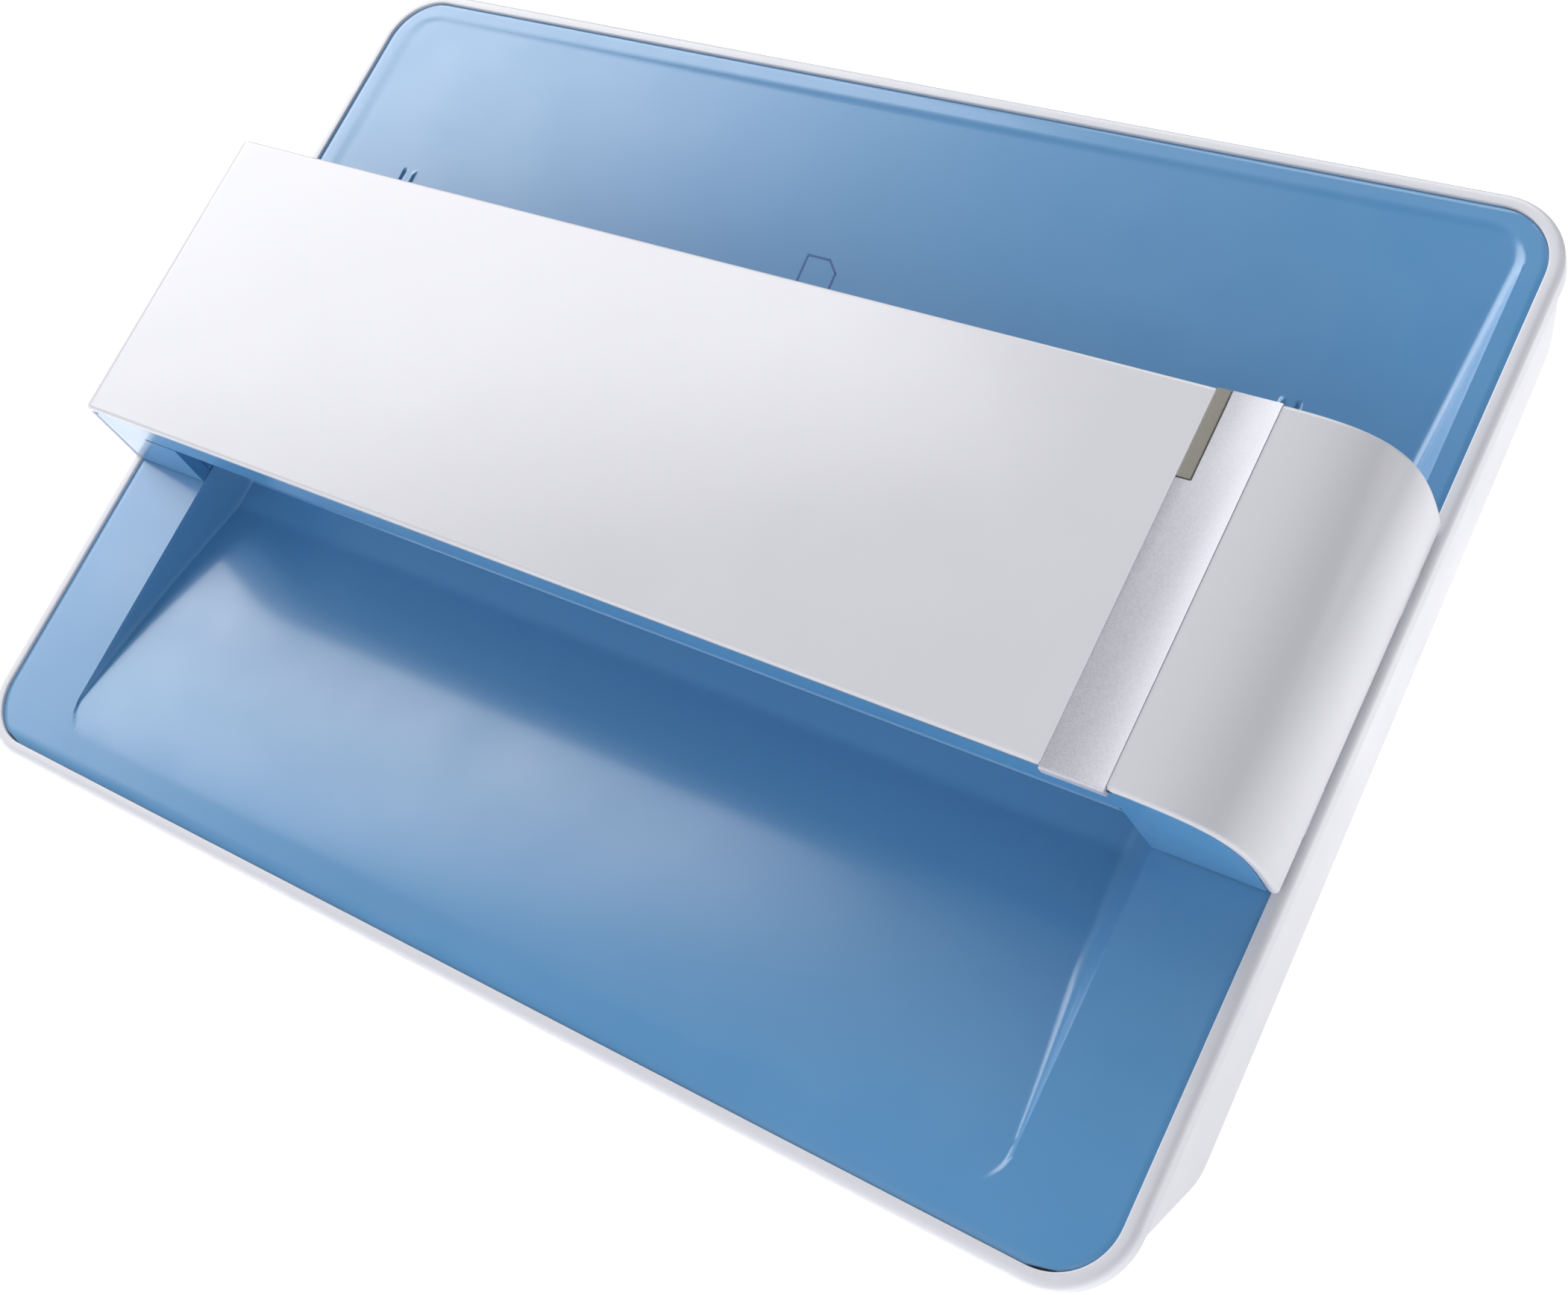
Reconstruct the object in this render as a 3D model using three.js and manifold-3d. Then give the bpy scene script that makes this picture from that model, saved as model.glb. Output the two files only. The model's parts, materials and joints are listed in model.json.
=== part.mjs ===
// Sheet-fed photo scanner: a tray-shaped panel leaning back at 45 degrees on a wedge-shaped housing.
// A bridge across the panel holds the upper half of the paper path and opens about its right-hand end.
//
// Units are millimetres and +Z is up. The origin is on the table, in the middle of the footprint.
// Nearly everything is drawn in the panel frame, which is then tilted as one group:
// X runs across the panel, Y up its slope and Z straight out of it, with Z = 0 on the deck's flat border.

import * as THREE from "three";
import { mergeVertices } from "three/addons/utils/BufferGeometryUtils.js";
import Module from "manifold-3d";

const wasm = await Module();
wasm.setup();

// ---- Driving dimensions ----------------------------------------------------------------------------

const OVERALL_HEIGHT = 158.5;
const OVERALL_DEPTH = 160.3;
const LEAN = Math.PI / 4;
const GAP = 0.3; // between pieces that meet face to face
const WALL = 2.4; // housing wall
const SKIN = 2; // deck, cover shell and cover frame

const PANEL = { width: 289, length: 208.5, corner: 14.8, rim: 2.75, top: 0.4, flange: 4, fillet: 1.5 };
const DECK_W = PANEL.width - 2 * PANEL.rim - 2 * GAP;
const DECK_L = PANEL.length - 2 * PANEL.rim - 2 * GAP;
const DECK_R = PANEL.corner - PANEL.rim;

// Side profile of the tub under the rim: the two slanted ends and the back between them, as [y, z].
const TUB = {
  halfWidth: 143.7,
  round: 8,
  profile: [[-92.1, -3], [-76.5, -27.8], [85.7, -17.7], [91, -3]],
};

// Paper path along the slope. Floor and ceiling are [y, z] lines.
const CHANNEL = { half: 120.1, run: 6, frontEnd: -94, corner: 8, mouthDepth: 10.6 };
const FLAT_FLOOR = -7;
const FLOOR = [
  [CHANNEL.frontEnd, -0.1], [-31, -CHANNEL.mouthDepth], [-24.5, -CHANNEL.mouthDepth],
  [-21, FLAT_FLOOR], [28, FLAT_FLOOR], [50, -1],
];
const CEILING = [[-28, 21.1], [-20, -3.6], [26, -3.6], [33, 10]];
const RECESS = { start: 38.6, half: 137.4, depth: 6.3, top: 98, corner: 8, blend: 110, run: 5 };

const BRIDGE = {
  front: -31, rear: 39.3, height: 31.9, seat: 0.7,
  left: 143.6, topLeft: 130, cornerLeft: 4, bendAt: 113, right: 143.4, squareness: 4,
};
const MOUTH = { left: 110.4, right: 120, height: 21.1, round: 3 };
const STRIP = { x0: 108.6, x1: 120.3, depth: 0.9 };
const LED = { x1: 111.2, y0: 22.3 };

const HINGE = { x: 140.6, z: 3.4, bead: 2.7, pin: 1, ears: [[-20, -11], [21, 30]], inner: 36 };

const ROLLER = { r: 7, width: 26, at: [-70, 0, 70], shaft: 3, lift: 0.8 };
const PINCH = { r: 4.5, width: 20, shaft: 1.5 };
const ENTRY_Y = 19.8;
const EXIT_Y = -13.8;
const AXLE_Z = FLAT_FLOOR + ROLLER.lift - ROLLER.r;
const PINCH_Z = FLAT_FLOOR + ROLLER.lift + GAP + PINCH.r;
const GLASS = { y0: -5, y1: 11, half: 114, thick: 1.7 };
const PLATE = { x: 122.8, thick: 1.5 };
const BELT = { transferX: 126.6, motorX: 131.6, width: 3.4, thick: 1.1 };
const PULLEY = { shaft: 4.6, motor: 2.6 };
const MOTOR = { y: -58, z: -16.2, r: 7, x0: 107, x1: 122.6 };
const FLAG = { x: 40, y: 33, z: -11, length: 10, thick: 2.4 };

// Rear housing in the upright frame, as [y, z] of its back and base.
const HOUSING = { half: 113, front: -52, base: 2, rearTop: 98, joinY: 72 };
const FOOT = { r: 7, height: 2.1, x: 92, yFront: -38, yRear: 66 };
const PLUG_Z = 22; // height of the sockets and the switch above the table

// ---- The tilted panel frame ------------------------------------------------------------------------

// How far the rounded rim reaches up, and forwards, from the panel's centre.
const roundCentre = PANEL.length / 2 - PANEL.fillet;
const REACH =
  roundCentre * Math.sin(LEAN) + (PANEL.top - PANEL.fillet) * Math.cos(LEAN) + PANEL.fillet;
const PANEL_Z = OVERALL_HEIGHT - REACH;
const REAR_Y = OVERALL_DEPTH / 2;
const PANEL_Y = REACH - REAR_Y;

// A point [y, z] of the upright frame, in the panel frame.
function toPanel([y, z]) {
  const dy = y - PANEL_Y;
  const dz = z - PANEL_Z;
  return [
    dy * Math.cos(LEAN) + dz * Math.sin(LEAN),
    dz * Math.cos(LEAN) - dy * Math.sin(LEAN),
  ];
}

const panel = new THREE.Group();
panel.rotation.x = LEAN;
panel.position.set(0, PANEL_Y, PANEL_Z);

const upright = new THREE.Group();

// ---- Solids: closed geometries, joined and cut ------------------------------------------------------

function solidOf(geometry) {
  const g = geometry.clone();
  g.deleteAttribute("normal");
  g.deleteAttribute("uv");
  const merged = mergeVertices(g, 1e-4);
  return new wasm.Manifold(
    new wasm.Mesh({
      numProp: 3,
      vertProperties: merged.attributes.position.array,
      triVerts: new Uint32Array(merged.index.array),
    }),
  );
}

function geometryOf(manifold) {
  const mesh = manifold.getMesh();
  const g = new THREE.BufferGeometry();
  g.setAttribute("position", new THREE.BufferAttribute(mesh.vertProperties, 3));
  g.setIndex(new THREE.BufferAttribute(mesh.triVerts, 1));
  g.computeVertexNormals();
  return g;
}

const join = (first, ...rest) => rest.reduce((a, b) => a.add(b), first);
const cut = (first, ...rest) => rest.reduce((a, b) => a.subtract(b), first);

// The biggest body of a solid, without the crumbs a cut can leave beside it.
function mainBody(manifold) {
  return manifold.decompose().reduce((a, b) => (b.volume() > a.volume() ? b : a));
}

function shapeOf(points) {
  return new THREE.Shape(points.map(([a, b]) => new THREE.Vector2(a, b)));
}

function extrude(shape, depth, curveSegments = 8) {
  return new THREE.ExtrudeGeometry(shape, { depth, bevelEnabled: false, curveSegments });
}

// Shapes drawn in XY, YZ and XZ, swept along the third axis between two values of it.
function alongZ(shape, z0, z1, segments) {
  return solidOf(extrude(shape, z1 - z0, segments).translate(0, 0, z0));
}

function alongX(shape, x0, x1, segments) {
  const g = extrude(shape, x1 - x0, segments);
  const turn = new THREE.Matrix4().makeBasis(
    new THREE.Vector3(0, 1, 0),
    new THREE.Vector3(0, 0, 1),
    new THREE.Vector3(1, 0, 0),
  );
  return solidOf(g.applyMatrix4(turn).translate(x0, 0, 0));
}

function alongY(shape, y0, y1, segments) {
  return solidOf(extrude(shape, y1 - y0, segments).rotateX(Math.PI / 2).translate(0, y1, 0));
}

function block(x0, x1, y0, y1, z0, z1) {
  const g = new THREE.BoxGeometry(x1 - x0, y1 - y0, z1 - z0);
  return solidOf(g.translate((x0 + x1) / 2, (y0 + y1) / 2, (z0 + z1) / 2));
}

function rodX(r, x0, x1, y, z, sides = 24) {
  const g = new THREE.CylinderGeometry(r, r, x1 - x0, sides).rotateZ(Math.PI / 2);
  return solidOf(g.translate((x0 + x1) / 2, y, z));
}

function rodY(r, y0, y1, x, z, sides = 24) {
  const g = new THREE.CylinderGeometry(r, r, y1 - y0, sides);
  return solidOf(g.translate(x, (y0 + y1) / 2, z));
}

function rodZ(r, z0, z1, x, y, sides = 24) {
  const g = new THREE.CylinderGeometry(r, r, z1 - z0, sides).rotateX(Math.PI / 2);
  return solidOf(g.translate(x, y, (z0 + z1) / 2));
}

// A closed skin over rings of points, one ring after another, each with the same number of points.
function loft(rings) {
  const n = rings[0].length;
  const positions = rings.flat().flat();
  const index = [];
  for (let k = 0; k + 1 < rings.length; k++)
    for (let i = 0; i < n; i++) {
      const a = k * n + i;
      const b = k * n + ((i + 1) % n);
      index.push(a, b, b + n, a, b + n, a + n);
    }
  const last = (rings.length - 1) * n;
  for (let i = 1; i + 1 < n; i++) {
    index.push(0, i + 1, i);
    index.push(last, last + i, last + i + 1);
  }
  const g = new THREE.BufferGeometry();
  g.setAttribute("position", new THREE.Float32BufferAttribute(positions, 3));
  g.setIndex(index);
  return solidOf(g);
}

// Corners of a rounded rectangle about the origin, anticlockwise, as [x, y].
function roundedOutline(width, length, radius, perCorner = 6) {
  const points = [];
  const centres = [[1, 1], [-1, 1], [-1, -1], [1, -1]];
  centres.forEach(([sx, sy], quarter) => {
    for (let i = 0; i <= perCorner; i++) {
      const a = (quarter + i / perCorner) * (Math.PI / 2);
      points.push([
        sx * (width / 2 - radius) + radius * Math.cos(a),
        sy * (length / 2 - radius) + radius * Math.sin(a),
      ]);
    }
  });
  return points;
}

// A line of [a, b] points with its inner corners rounded off by arcs of the given radius.
function roundCorners(points, radius, steps = 4) {
  return points.flatMap(([x, y], i) => {
    if (i === 0 || i === points.length - 1) return [[x, y]];
    const [px, py] = points[i - 1];
    const [qx, qy] = points[i + 1];
    const before = new THREE.Vector2(px - x, py - y).normalize();
    const after = new THREE.Vector2(qx - x, qy - y).normalize();
    const half = Math.acos(before.dot(after)) / 2;
    const back = radius / Math.tan(half);
    const curve = new THREE.QuadraticBezierCurve(
      new THREE.Vector2(x, y).addScaledVector(before, back),
      new THREE.Vector2(x, y),
      new THREE.Vector2(x, y).addScaledVector(after, back),
    );
    return curve.getPoints(steps).map((p) => [p.x, p.y]);
  });
}

// Height of a [y, z] line at y.
function heightOn(line, y) {
  const i = Math.min(Math.max(line.findIndex(([a]) => a >= y), 1), line.length - 1);
  const [[y0, z0], [y1, z1]] = [line[i - 1], line[i]];
  return z0 + ((z1 - z0) * (y - y0)) / (y1 - y0);
}

// ---- Finishes --------------------------------------------------------------------------------------

const paint = (color, roughness, metalness = 0) =>
  new THREE.MeshStandardMaterial({ color, roughness, metalness });

const finish = {
  white: paint(0xf1f0f4, 0.3),
  whiteGloss: paint(0xf3f2f6, 0.12),
  blue: paint(0x5f9fd0, 0.4),
  silver: paint(0xc3c3cd, 0.4, 0.8),
  lens: paint(0x9a978c, 0.2),
  rubber: paint(0x3a3c42, 0.85),
  greyRubber: paint(0x6a6e76, 0.8),
  steel: paint(0xb4b7bc, 0.3, 1),
  zinc: paint(0x9aa0a6, 0.5, 1),
  dark: paint(0x1d1e21, 0.5),
  board: paint(0x1f6b3c, 0.5),
  glass: paint(0xdfeef2, 0.05),
  acetal: paint(0xe9e6da, 0.45),
};

function add(name, manifold, material, group = panel) {
  const mesh = new THREE.Mesh(geometryOf(manifold), material);
  mesh.name = name;
  group.add(mesh);
}

// ---- Base: rim and tub ------------------------------------------------------------------------------

function rimSolid() {
  const { width, length, corner, top, flange, fillet } = PANEL;
  const ring = (inset, z) =>
    roundedOutline(width - 2 * inset, length - 2 * inset, corner - inset).map(([x, y]) => [x, y, z]);
  const steps = 4;
  const rings = [ring(0, -flange)];
  for (let i = 0; i <= steps; i++) {
    const a = (i / steps) * (Math.PI / 2);
    rings.push(ring(fillet * (1 - Math.cos(a)), top - fillet * (1 - Math.sin(a))));
  }
  return loft(rings);
}

function tubOutline(inset) {
  const [[y0, z0], [y1, z1], [y2, z2], [y3, z3]] = TUB.profile;
  const side = inset * 1.15; // the ends slant, so an even wall takes a little more along Y
  return roundCorners(
    [[y0 + side, z0], [y1 + side * 0.7, z1 + inset], [y2 - side * 0.7, z2 + inset], [y3 - side, z3]],
    TUB.round - inset,
  );
}

function hingeEars() {
  return HINGE.ears.map(([y0, y1]) => {
    const r = HINGE.bead - GAP;
    const stem = block(HINGE.x - r, HINGE.x + r, y0, y1, -PANEL.flange, HINGE.z);
    return join(stem, rodY(r, y0, y1, HINGE.x, HINGE.z));
  });
}

function baseShell() {
  const tub = alongX(shapeOf(tubOutline(0)), -TUB.halfWidth, TUB.halfWidth);
  const inside = alongX(shapeOf(tubOutline(WALL)), WALL - TUB.halfWidth, TUB.halfWidth - WALL);
  const pocket = alongZ(
    shapeOf(roundedOutline(DECK_W + 2 * GAP, DECK_L + 2 * GAP, DECK_R)),
    -SKIN - GAP,
    PANEL.top + 1,
  );
  const ledge = join(
    alongZ(shapeOf(roundedOutline(279, 195.5, 8)), -3.4, 0),
    alongZ(shapeOf(roundedOutline(279, 182.5, 8)), -PANEL.flange - 1, -3),
  );
  const backDoor = block(-100, 100, -34, 60, -30, -12);
  const pinHole = rodY(HINGE.pin + 0.1, -40, 45, HINGE.x, HINGE.z);
  const rim = cut(rimSolid(), pocket, ledge);
  return cut(join(rim, cut(tub, inside, ledge, pocket), ...hingeEars()), backDoor, pinHole);
}

// ---- Base: the deck with its trays and paper path --------------------------------------------------

// One cross-section of the paper channel, widened by grow on every side: [x, z] from left to right.
function channelSection(half, depth, grow) {
  const outer = half + grow;
  const inner = half - CHANNEL.run;
  const bottom = -depth - grow;
  const wall = [
    [outer, -grow * 0.01],
    [inner + CHANNEL.run * 0.35 + grow * 0.8, bottom * 0.72],
    [inner + grow * 0.5 - 1, bottom * 0.95],
    [inner - 4, bottom],
  ];
  const mirrored = wall.map(([x, z]) => [-x, z]);
  return [[-outer, 8], ...mirrored, ...wall.reverse(), [outer, 8]];
}

function channelHalf(y) {
  const r = CHANNEL.corner;
  const past = CHANNEL.frontEnd + r - y;
  return past > 0 ? CHANNEL.half - r + Math.sqrt(r * r - past * past) : CHANNEL.half;
}

function channelSolid(grow) {
  const corner = [0.1, 1, 2.5, 5, 8].map((past) => CHANNEL.frontEnd + past);
  const stations = [...corner, ...FLOOR.slice(1).map(([y]) => y)];
  return loft(
    stations.map((y) => {
      return channelSection(channelHalf(y), -heightOn(FLOOR, y), grow)
        .map(([x, z]) => [x, y, z])
        .reverse();
    }),
  );
}

// The shallow tray above the bridge: soft on the left and at the top, with a crisp step on the right.
function recessSolid(grow) {
  const { start, half, depth, top, corner, blend, run } = RECESS;
  const stations = [start, 60, top - corner, 92.5, 95, 96.8, top - 0.2];
  return loft(
    stations.map((y) => {
      const d = (depth * (top - y)) / (top - start) + 0.08 + grow;
      const past = Math.max(y - (top - corner), 0);
      const right = half - corner + Math.sqrt(corner ** 2 - past ** 2);
      return [
        [-half - grow, 8], [-half - grow, -grow * 0.01],
        [-half + blend * 0.5, -d * 0.47], [-half + blend, -d],
        [right - run - 2, -d], [right - run * 0.5 + grow, -d * 0.6],
        [right + grow, -grow * 0.01], [right + grow, 8],
      ].map(([x, z]) => [x, y, z]).reverse();
    }),
  );
}

function deckTray() {
  const plate = alongZ(shapeOf(roundedOutline(DECK_W, DECK_L, DECK_R)), -SKIN, 0);
  const under = alongZ(shapeOf(roundedOutline(DECK_W - 0.2, DECK_L - 0.2, DECK_R)), -40, 0);
  const meeting = block(-124, 124, RECESS.start - 1, 52, -8, -1); // where one tray runs into the other
  const trays = join(channelSolid(SKIN), recessSolid(SKIN), meeting).intersect(under);
  const slots = [ENTRY_Y, EXIT_Y].flatMap((y) =>
    ROLLER.at.map((x) =>
      block(x - ROLLER.width / 2 - 1, x + ROLLER.width / 2 + 1, y - 7.2, y + 7.2, -20, 0),
    ),
  );
  const window = block(-GLASS.half, GLASS.half, GLASS.y0, GLASS.y1, -20, 0);
  const flagSlot = block(FLAG.x - 2.2, FLAG.x + 2.2, 21.5, 35.5, -20, 0);
  const earNotches = HINGE.ears.map(([y0, y1]) => {
    const r = HINGE.bead - GAP;
    return block(HINGE.x - r - GAP, HINGE.x + 9, y0 - GAP, y1 + GAP, -9, 2);
  });
  const magnetHole = rodZ(3.3, -9, 2, -133, 4);
  const flagLugs = [-1, 1].map((side) => {
    const x = FLAG.x + side * 5;
    return block(x - 0.8, x + 0.8, FLAG.y - 3, FLAG.y + 3, FLAG.z - 3, -4);
  });
  const flagBore = rodX(2.1, FLAG.x - 9, FLAG.x + 9, FLAG.y, FLAG.z);
  return mainBody(
    cut(
      join(plate, trays, ...flagLugs),
      channelSolid(0), recessSolid(0), flagBore, ...slots, window, flagSlot, ...earNotches, magnetHole,
    ),
  );
}

// ---- Bridge cover ----------------------------------------------------------------------------------

const END_TILT = Math.atan((BRIDGE.left - BRIDGE.topLeft) / (BRIDGE.height - BRIDGE.seat));

// The bridge's front view, inset all round by t and standing on z = foot: slanted left end, curved right.
function archShape(t, foot) {
  const wallAt = (z) => -BRIDGE.left + (z - BRIDGE.seat) * Math.tan(END_TILT) + t / Math.cos(END_TILT);
  const top = BRIDGE.height - t;
  const round = BRIDGE.cornerLeft - t * 0.5;
  const shape = new THREE.Shape();
  shape.moveTo(wallAt(foot), foot);
  shape.lineTo(wallAt(top - round), top - round);
  shape.quadraticCurveTo(wallAt(top), top, wallAt(top) + round, top);
  const steps = 16;
  const a = BRIDGE.right - BRIDGE.bendAt - t;
  const power = 2 / BRIDGE.squareness;
  const lowest = Math.asin(Math.pow(Math.max(foot, 0.01) / top, 1 / power));
  for (let i = 0; i <= steps; i++) {
    const angle = Math.PI / 2 + (lowest - Math.PI / 2) * (i / steps);
    shape.lineTo(
      BRIDGE.bendAt + a * Math.pow(Math.cos(angle), power),
      top * Math.pow(Math.sin(angle), power),
    );
  }
  shape.closePath();
  return shape;
}

// Everything near the hinge that would foul the base as the cover turns: below the axis and outside the bead.
function hingeClearance() {
  const corner = block(HINGE.x, HINGE.x + 9, BRIDGE.front - 1, BRIDGE.rear + 1, -9, HINGE.z);
  return cut(corner, rodY(HINGE.bead, BRIDGE.front - 2, BRIDGE.rear + 2, HINGE.x, HINGE.z, 32));
}

function coverShell() {
  const outside = alongY(archShape(0, BRIDGE.seat), BRIDGE.front, BRIDGE.rear, 4);
  const inside = alongY(archShape(SKIN, -1), BRIDGE.front - 1, BRIDGE.rear + 1, 4);
  const bead = rodY(HINGE.bead, BRIDGE.front + 4, HINGE.inner, HINGE.x, HINGE.z, 32);
  const earRoom = HINGE.ears.map(([y0, y1]) =>
    block(HINGE.x - 6, HINGE.x + 9, y0 - GAP, y1 + GAP, -1, HINGE.z + HINGE.bead + GAP),
  );
  const pinHole = rodY(HINGE.pin + 0.1, BRIDGE.front + 6, HINGE.inner - 2, HINGE.x, HINGE.z);
  const stripBed = block(
    STRIP.x0 - GAP, STRIP.x1 + GAP, BRIDGE.front - 1, BRIDGE.rear + 1, BRIDGE.height - STRIP.depth, 40,
  );
  const lightHole = block(STRIP.x0 - GAP, LED.x1 + GAP, LED.y0 - GAP, BRIDGE.rear - 1.5, 20, 40);
  return cut(
    join(cut(outside, inside), bead), hingeClearance(), ...earRoom, pinHole, stripBed, lightHole,
  );
}

function mouthShape() {
  const { left, right, height, round } = MOUTH;
  return shapeOf(
    roundCorners(
      [[-CHANNEL.half, -9], [-CHANNEL.half, 0], [-left, height], [right, height], [right, -9]],
      round, 3,
    ),
  );
}

function coverFrame() {
  const front = BRIDGE.front + 0.2;
  const rear = BRIDGE.rear - 1;
  const body = join(
    alongY(archShape(SKIN + GAP, 0.4), front, rear, 4),
    block(-111, 111, -24, 30, CEILING[1][1], 1),
  );
  const [[yA, zA], [yB, zB], [yC, zC], [yD, zD]] = CEILING;
  const under = [[-60, -30], [-60, zA], [yA, zA], [yB, zB], [yC, zC], [yD, zD], [60, zD], [60, -30]];
  const throat = alongX(shapeOf(under), -CHANNEL.half, CHANNEL.half);
  const mouths = alongY(mouthShape(), front - 1, yA, 3);
  const belowMouth = block(-CHANNEL.half, CHANNEL.half, front - 1, yA, zA - 1, zA + 1);
  const frontWall = cut(alongY(archShape(SKIN + GAP, 0.4), front, yA, 4), mouths, belowMouth);
  const ledRoom = block(94, 122, 12, rear - SKIN, zD + SKIN, 40);
  const hollow = alongX(
    shapeOf([
      [yA, 40], [yA, zA + SKIN], [yA + 1.6, zA + SKIN], [yB + 1.6, zB + SKIN],
      [yC - 1.6, zC + SKIN], [yD - 1.6, zD + SKIN], [rear - SKIN, zD + SKIN], [rear - SKIN, 40],
    ]),
    -109,
    109,
  );
  const ends = [[-133, -CHANNEL.half - SKIN], [CHANNEL.half + SKIN, 133]].map(([x0, x1]) =>
    block(x0, x1, yA, rear - SKIN, 0.4 + SKIN, 40),
  );
  const pinchSlots = [ENTRY_Y, EXIT_Y].flatMap((y) =>
    ROLLER.at.map((x) => block(x - PINCH.width / 2 - 1, x + PINCH.width / 2 + 1, y - 5, y + 5, -9, 9)),
  );
  const pinchBeds = [ENTRY_Y, EXIT_Y].map((y) => rodX(PINCH.shaft + 0.3, -96.3, 96.3, y, PINCH_Z, 16));
  const plateSlot = block(-GLASS.half + 4, GLASS.half - 4, -4.3, 10.3, -9, 9);
  const flagRoom = block(FLAG.x - 2.2, FLAG.x + 2.2, 20.5, 35, -9, 6);
  const beadRoom = block(HINGE.x - 5.5, HINGE.x + 9, BRIDGE.front + 3, HINGE.inner + 1, -1, HINGE.z + 5.5);
  const strikerBed = rodZ(3.3, -1, 1.6, -133, 4);
  return cut(
    join(cut(body, throat, hollow, ...ends), frontWall),
    ...pinchSlots, ...pinchBeds, plateSlot, flagRoom, beadRoom, strikerBed, ledRoom, hingeClearance(),
  );
}

function accentStrip() {
  const top = BRIDGE.height + 0.05;
  const bed = BRIDGE.height - STRIP.depth + GAP;
  const flat = block(STRIP.x0, STRIP.x1, BRIDGE.front - 0.7, BRIDGE.rear, bed, top);
  const lip = block(STRIP.x0, STRIP.x1, BRIDGE.front - 0.7, BRIDGE.front - GAP, BRIDGE.height - 2.2, top);
  const ledRoom = block(STRIP.x0 - 1, LED.x1 + GAP, LED.y0 - GAP, BRIDGE.rear + 1, 20, 40);
  return cut(join(flat, lip), ledRoom);
}

function ledLens() {
  const bed = BRIDGE.height - STRIP.depth + GAP;
  const face = block(STRIP.x0, LED.x1, LED.y0, BRIDGE.rear, bed, BRIDGE.height + 0.05);
  const guide = block(STRIP.x0 + 0.3, LED.x1 - 0.3, LED.y0 + 1, BRIDGE.rear - 4, 26, bed + 0.1);
  return join(face, guide);
}

function bridgeCover() {
  add("cover_shell", coverShell(), finish.whiteGloss);
  add("cover_frame", coverFrame(), finish.blue);
  add("accent_strip", accentStrip(), finish.silver);
  add("led_lens", ledLens(), finish.lens);
  add("led_board", block(96, 118, 14, 35, 24, 25.6), finish.board);
  add("backing_plate", block(-GLASS.half + 5, GLASS.half - 5, -3.8, 9.8, FLAT_FLOOR + 1, -1.2), finish.white);
  add("striker_plate", rodZ(3, 0.5, 1.3, -133, 4), finish.zinc);
  HINGE.ears.forEach(([y0, y1], i) => {
    add(`hinge_pin_${i + 1}`, rodY(HINGE.pin, y0 - 3, y1 + 3, HINGE.x, HINGE.z), finish.steel);
  });
  [["entry", ENTRY_Y], ["exit", EXIT_Y]].forEach(([name, y]) => {
    add(`${name}_pinch_shaft`, rodX(PINCH.shaft, -96, 96, y, PINCH_Z, 16), finish.steel);
    ROLLER.at.forEach((x, i) => {
      const wheel = rodX(PINCH.r, x - PINCH.width / 2, x + PINCH.width / 2, y, PINCH_Z, 24);
      const bore = rodX(PINCH.shaft + 0.1, x - 30, x + 30, y, PINCH_Z, 16);
      add(`${name}_pinch_roller_${i + 1}`, cut(wheel, bore), finish.acetal);
    });
  });
}

// ---- Feed drive ------------------------------------------------------------------------------------

// The right-hand plate runs further forward, to carry the motor.
function sidePlate(side) {
  const x0 = side > 0 ? PLATE.x : -PLATE.x - PLATE.thick;
  const leg = [[-24, -9], [-71, -9], [-71, -23.4]];
  const stub = [[-23, -20.6]];
  const outline = roundCorners(
    [[3, -2.7], [-22, -2.7], ...(side > 0 ? leg : stub), [29, -18.2], [27, -2.7], [3, -2.7]], 1.5, 3,
  );
  const holes = [ENTRY_Y, EXIT_Y].map((y) => rodX(ROLLER.shaft + 1.2, x0 - 1, x0 + 3, y, AXLE_Z));
  const motorHole = rodX(3, x0 - 1, x0 + 3, MOTOR.y, MOTOR.z);
  return cut(alongX(shapeOf(outline.slice(0, -1)), x0, x0 + PLATE.thick), ...holes, motorHole);
}

function bushing(side, y) {
  const inner = side > 0 ? PLATE.x - 1.5 : -PLATE.x - PLATE.thick - 1;
  const barrel = rodX(ROLLER.shaft + 1, inner, inner + 4, y, AXLE_Z);
  const flangeAt = side > 0 ? inner : inner + 2.7;
  const flange = rodX(ROLLER.shaft + 1.8, flangeAt, flangeAt + 1.3 - 0.2, y, AXLE_Z);
  const bore = rodX(ROLLER.shaft + 0.1, inner - 1, inner + 6, y, AXLE_Z);
  return cut(join(barrel, flange), bore);
}

// Toothed-looking drums are left plain; the belt runs in a groove between two flanges.
function pulley(r, x0, y, z, bore) {
  const drum = rodX(r, x0, x0 + BELT.width, y, z, 28);
  const flanges = [x0 - 0.7, x0 + BELT.width].map((x) => rodX(r + BELT.thick, x, x + 0.7, y, z, 28));
  return cut(join(drum, ...flanges), rodX(bore, x0 - 5, x0 + 9, y, z));
}

function beltOutline([ya, za, ra], [yb, zb, rb], grow) {
  const along = Math.atan2(zb - za, yb - ya);
  const spread = Math.acos((ra - rb) / Math.hypot(yb - ya, zb - za));
  const arc = (y, z, r, from, to) =>
    Array.from({ length: 13 }, (_, i) => {
      const a = from + ((to - from) * i) / 12;
      return [y + (r + grow) * Math.cos(a), z + (r + grow) * Math.sin(a)];
    });
  return [
    ...arc(ya, za, ra, along + spread, along + 2 * Math.PI - spread),
    ...arc(yb, zb, rb, along - spread, along + spread),
  ];
}

function belt(a, b, x0) {
  const x1 = x0 + BELT.width;
  return cut(
    alongX(shapeOf(beltOutline(a, b, BELT.thick)), x0 + GAP, x1 - GAP),
    alongX(shapeOf(beltOutline(a, b, 0.25)), x0, x1),
  );
}

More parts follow.
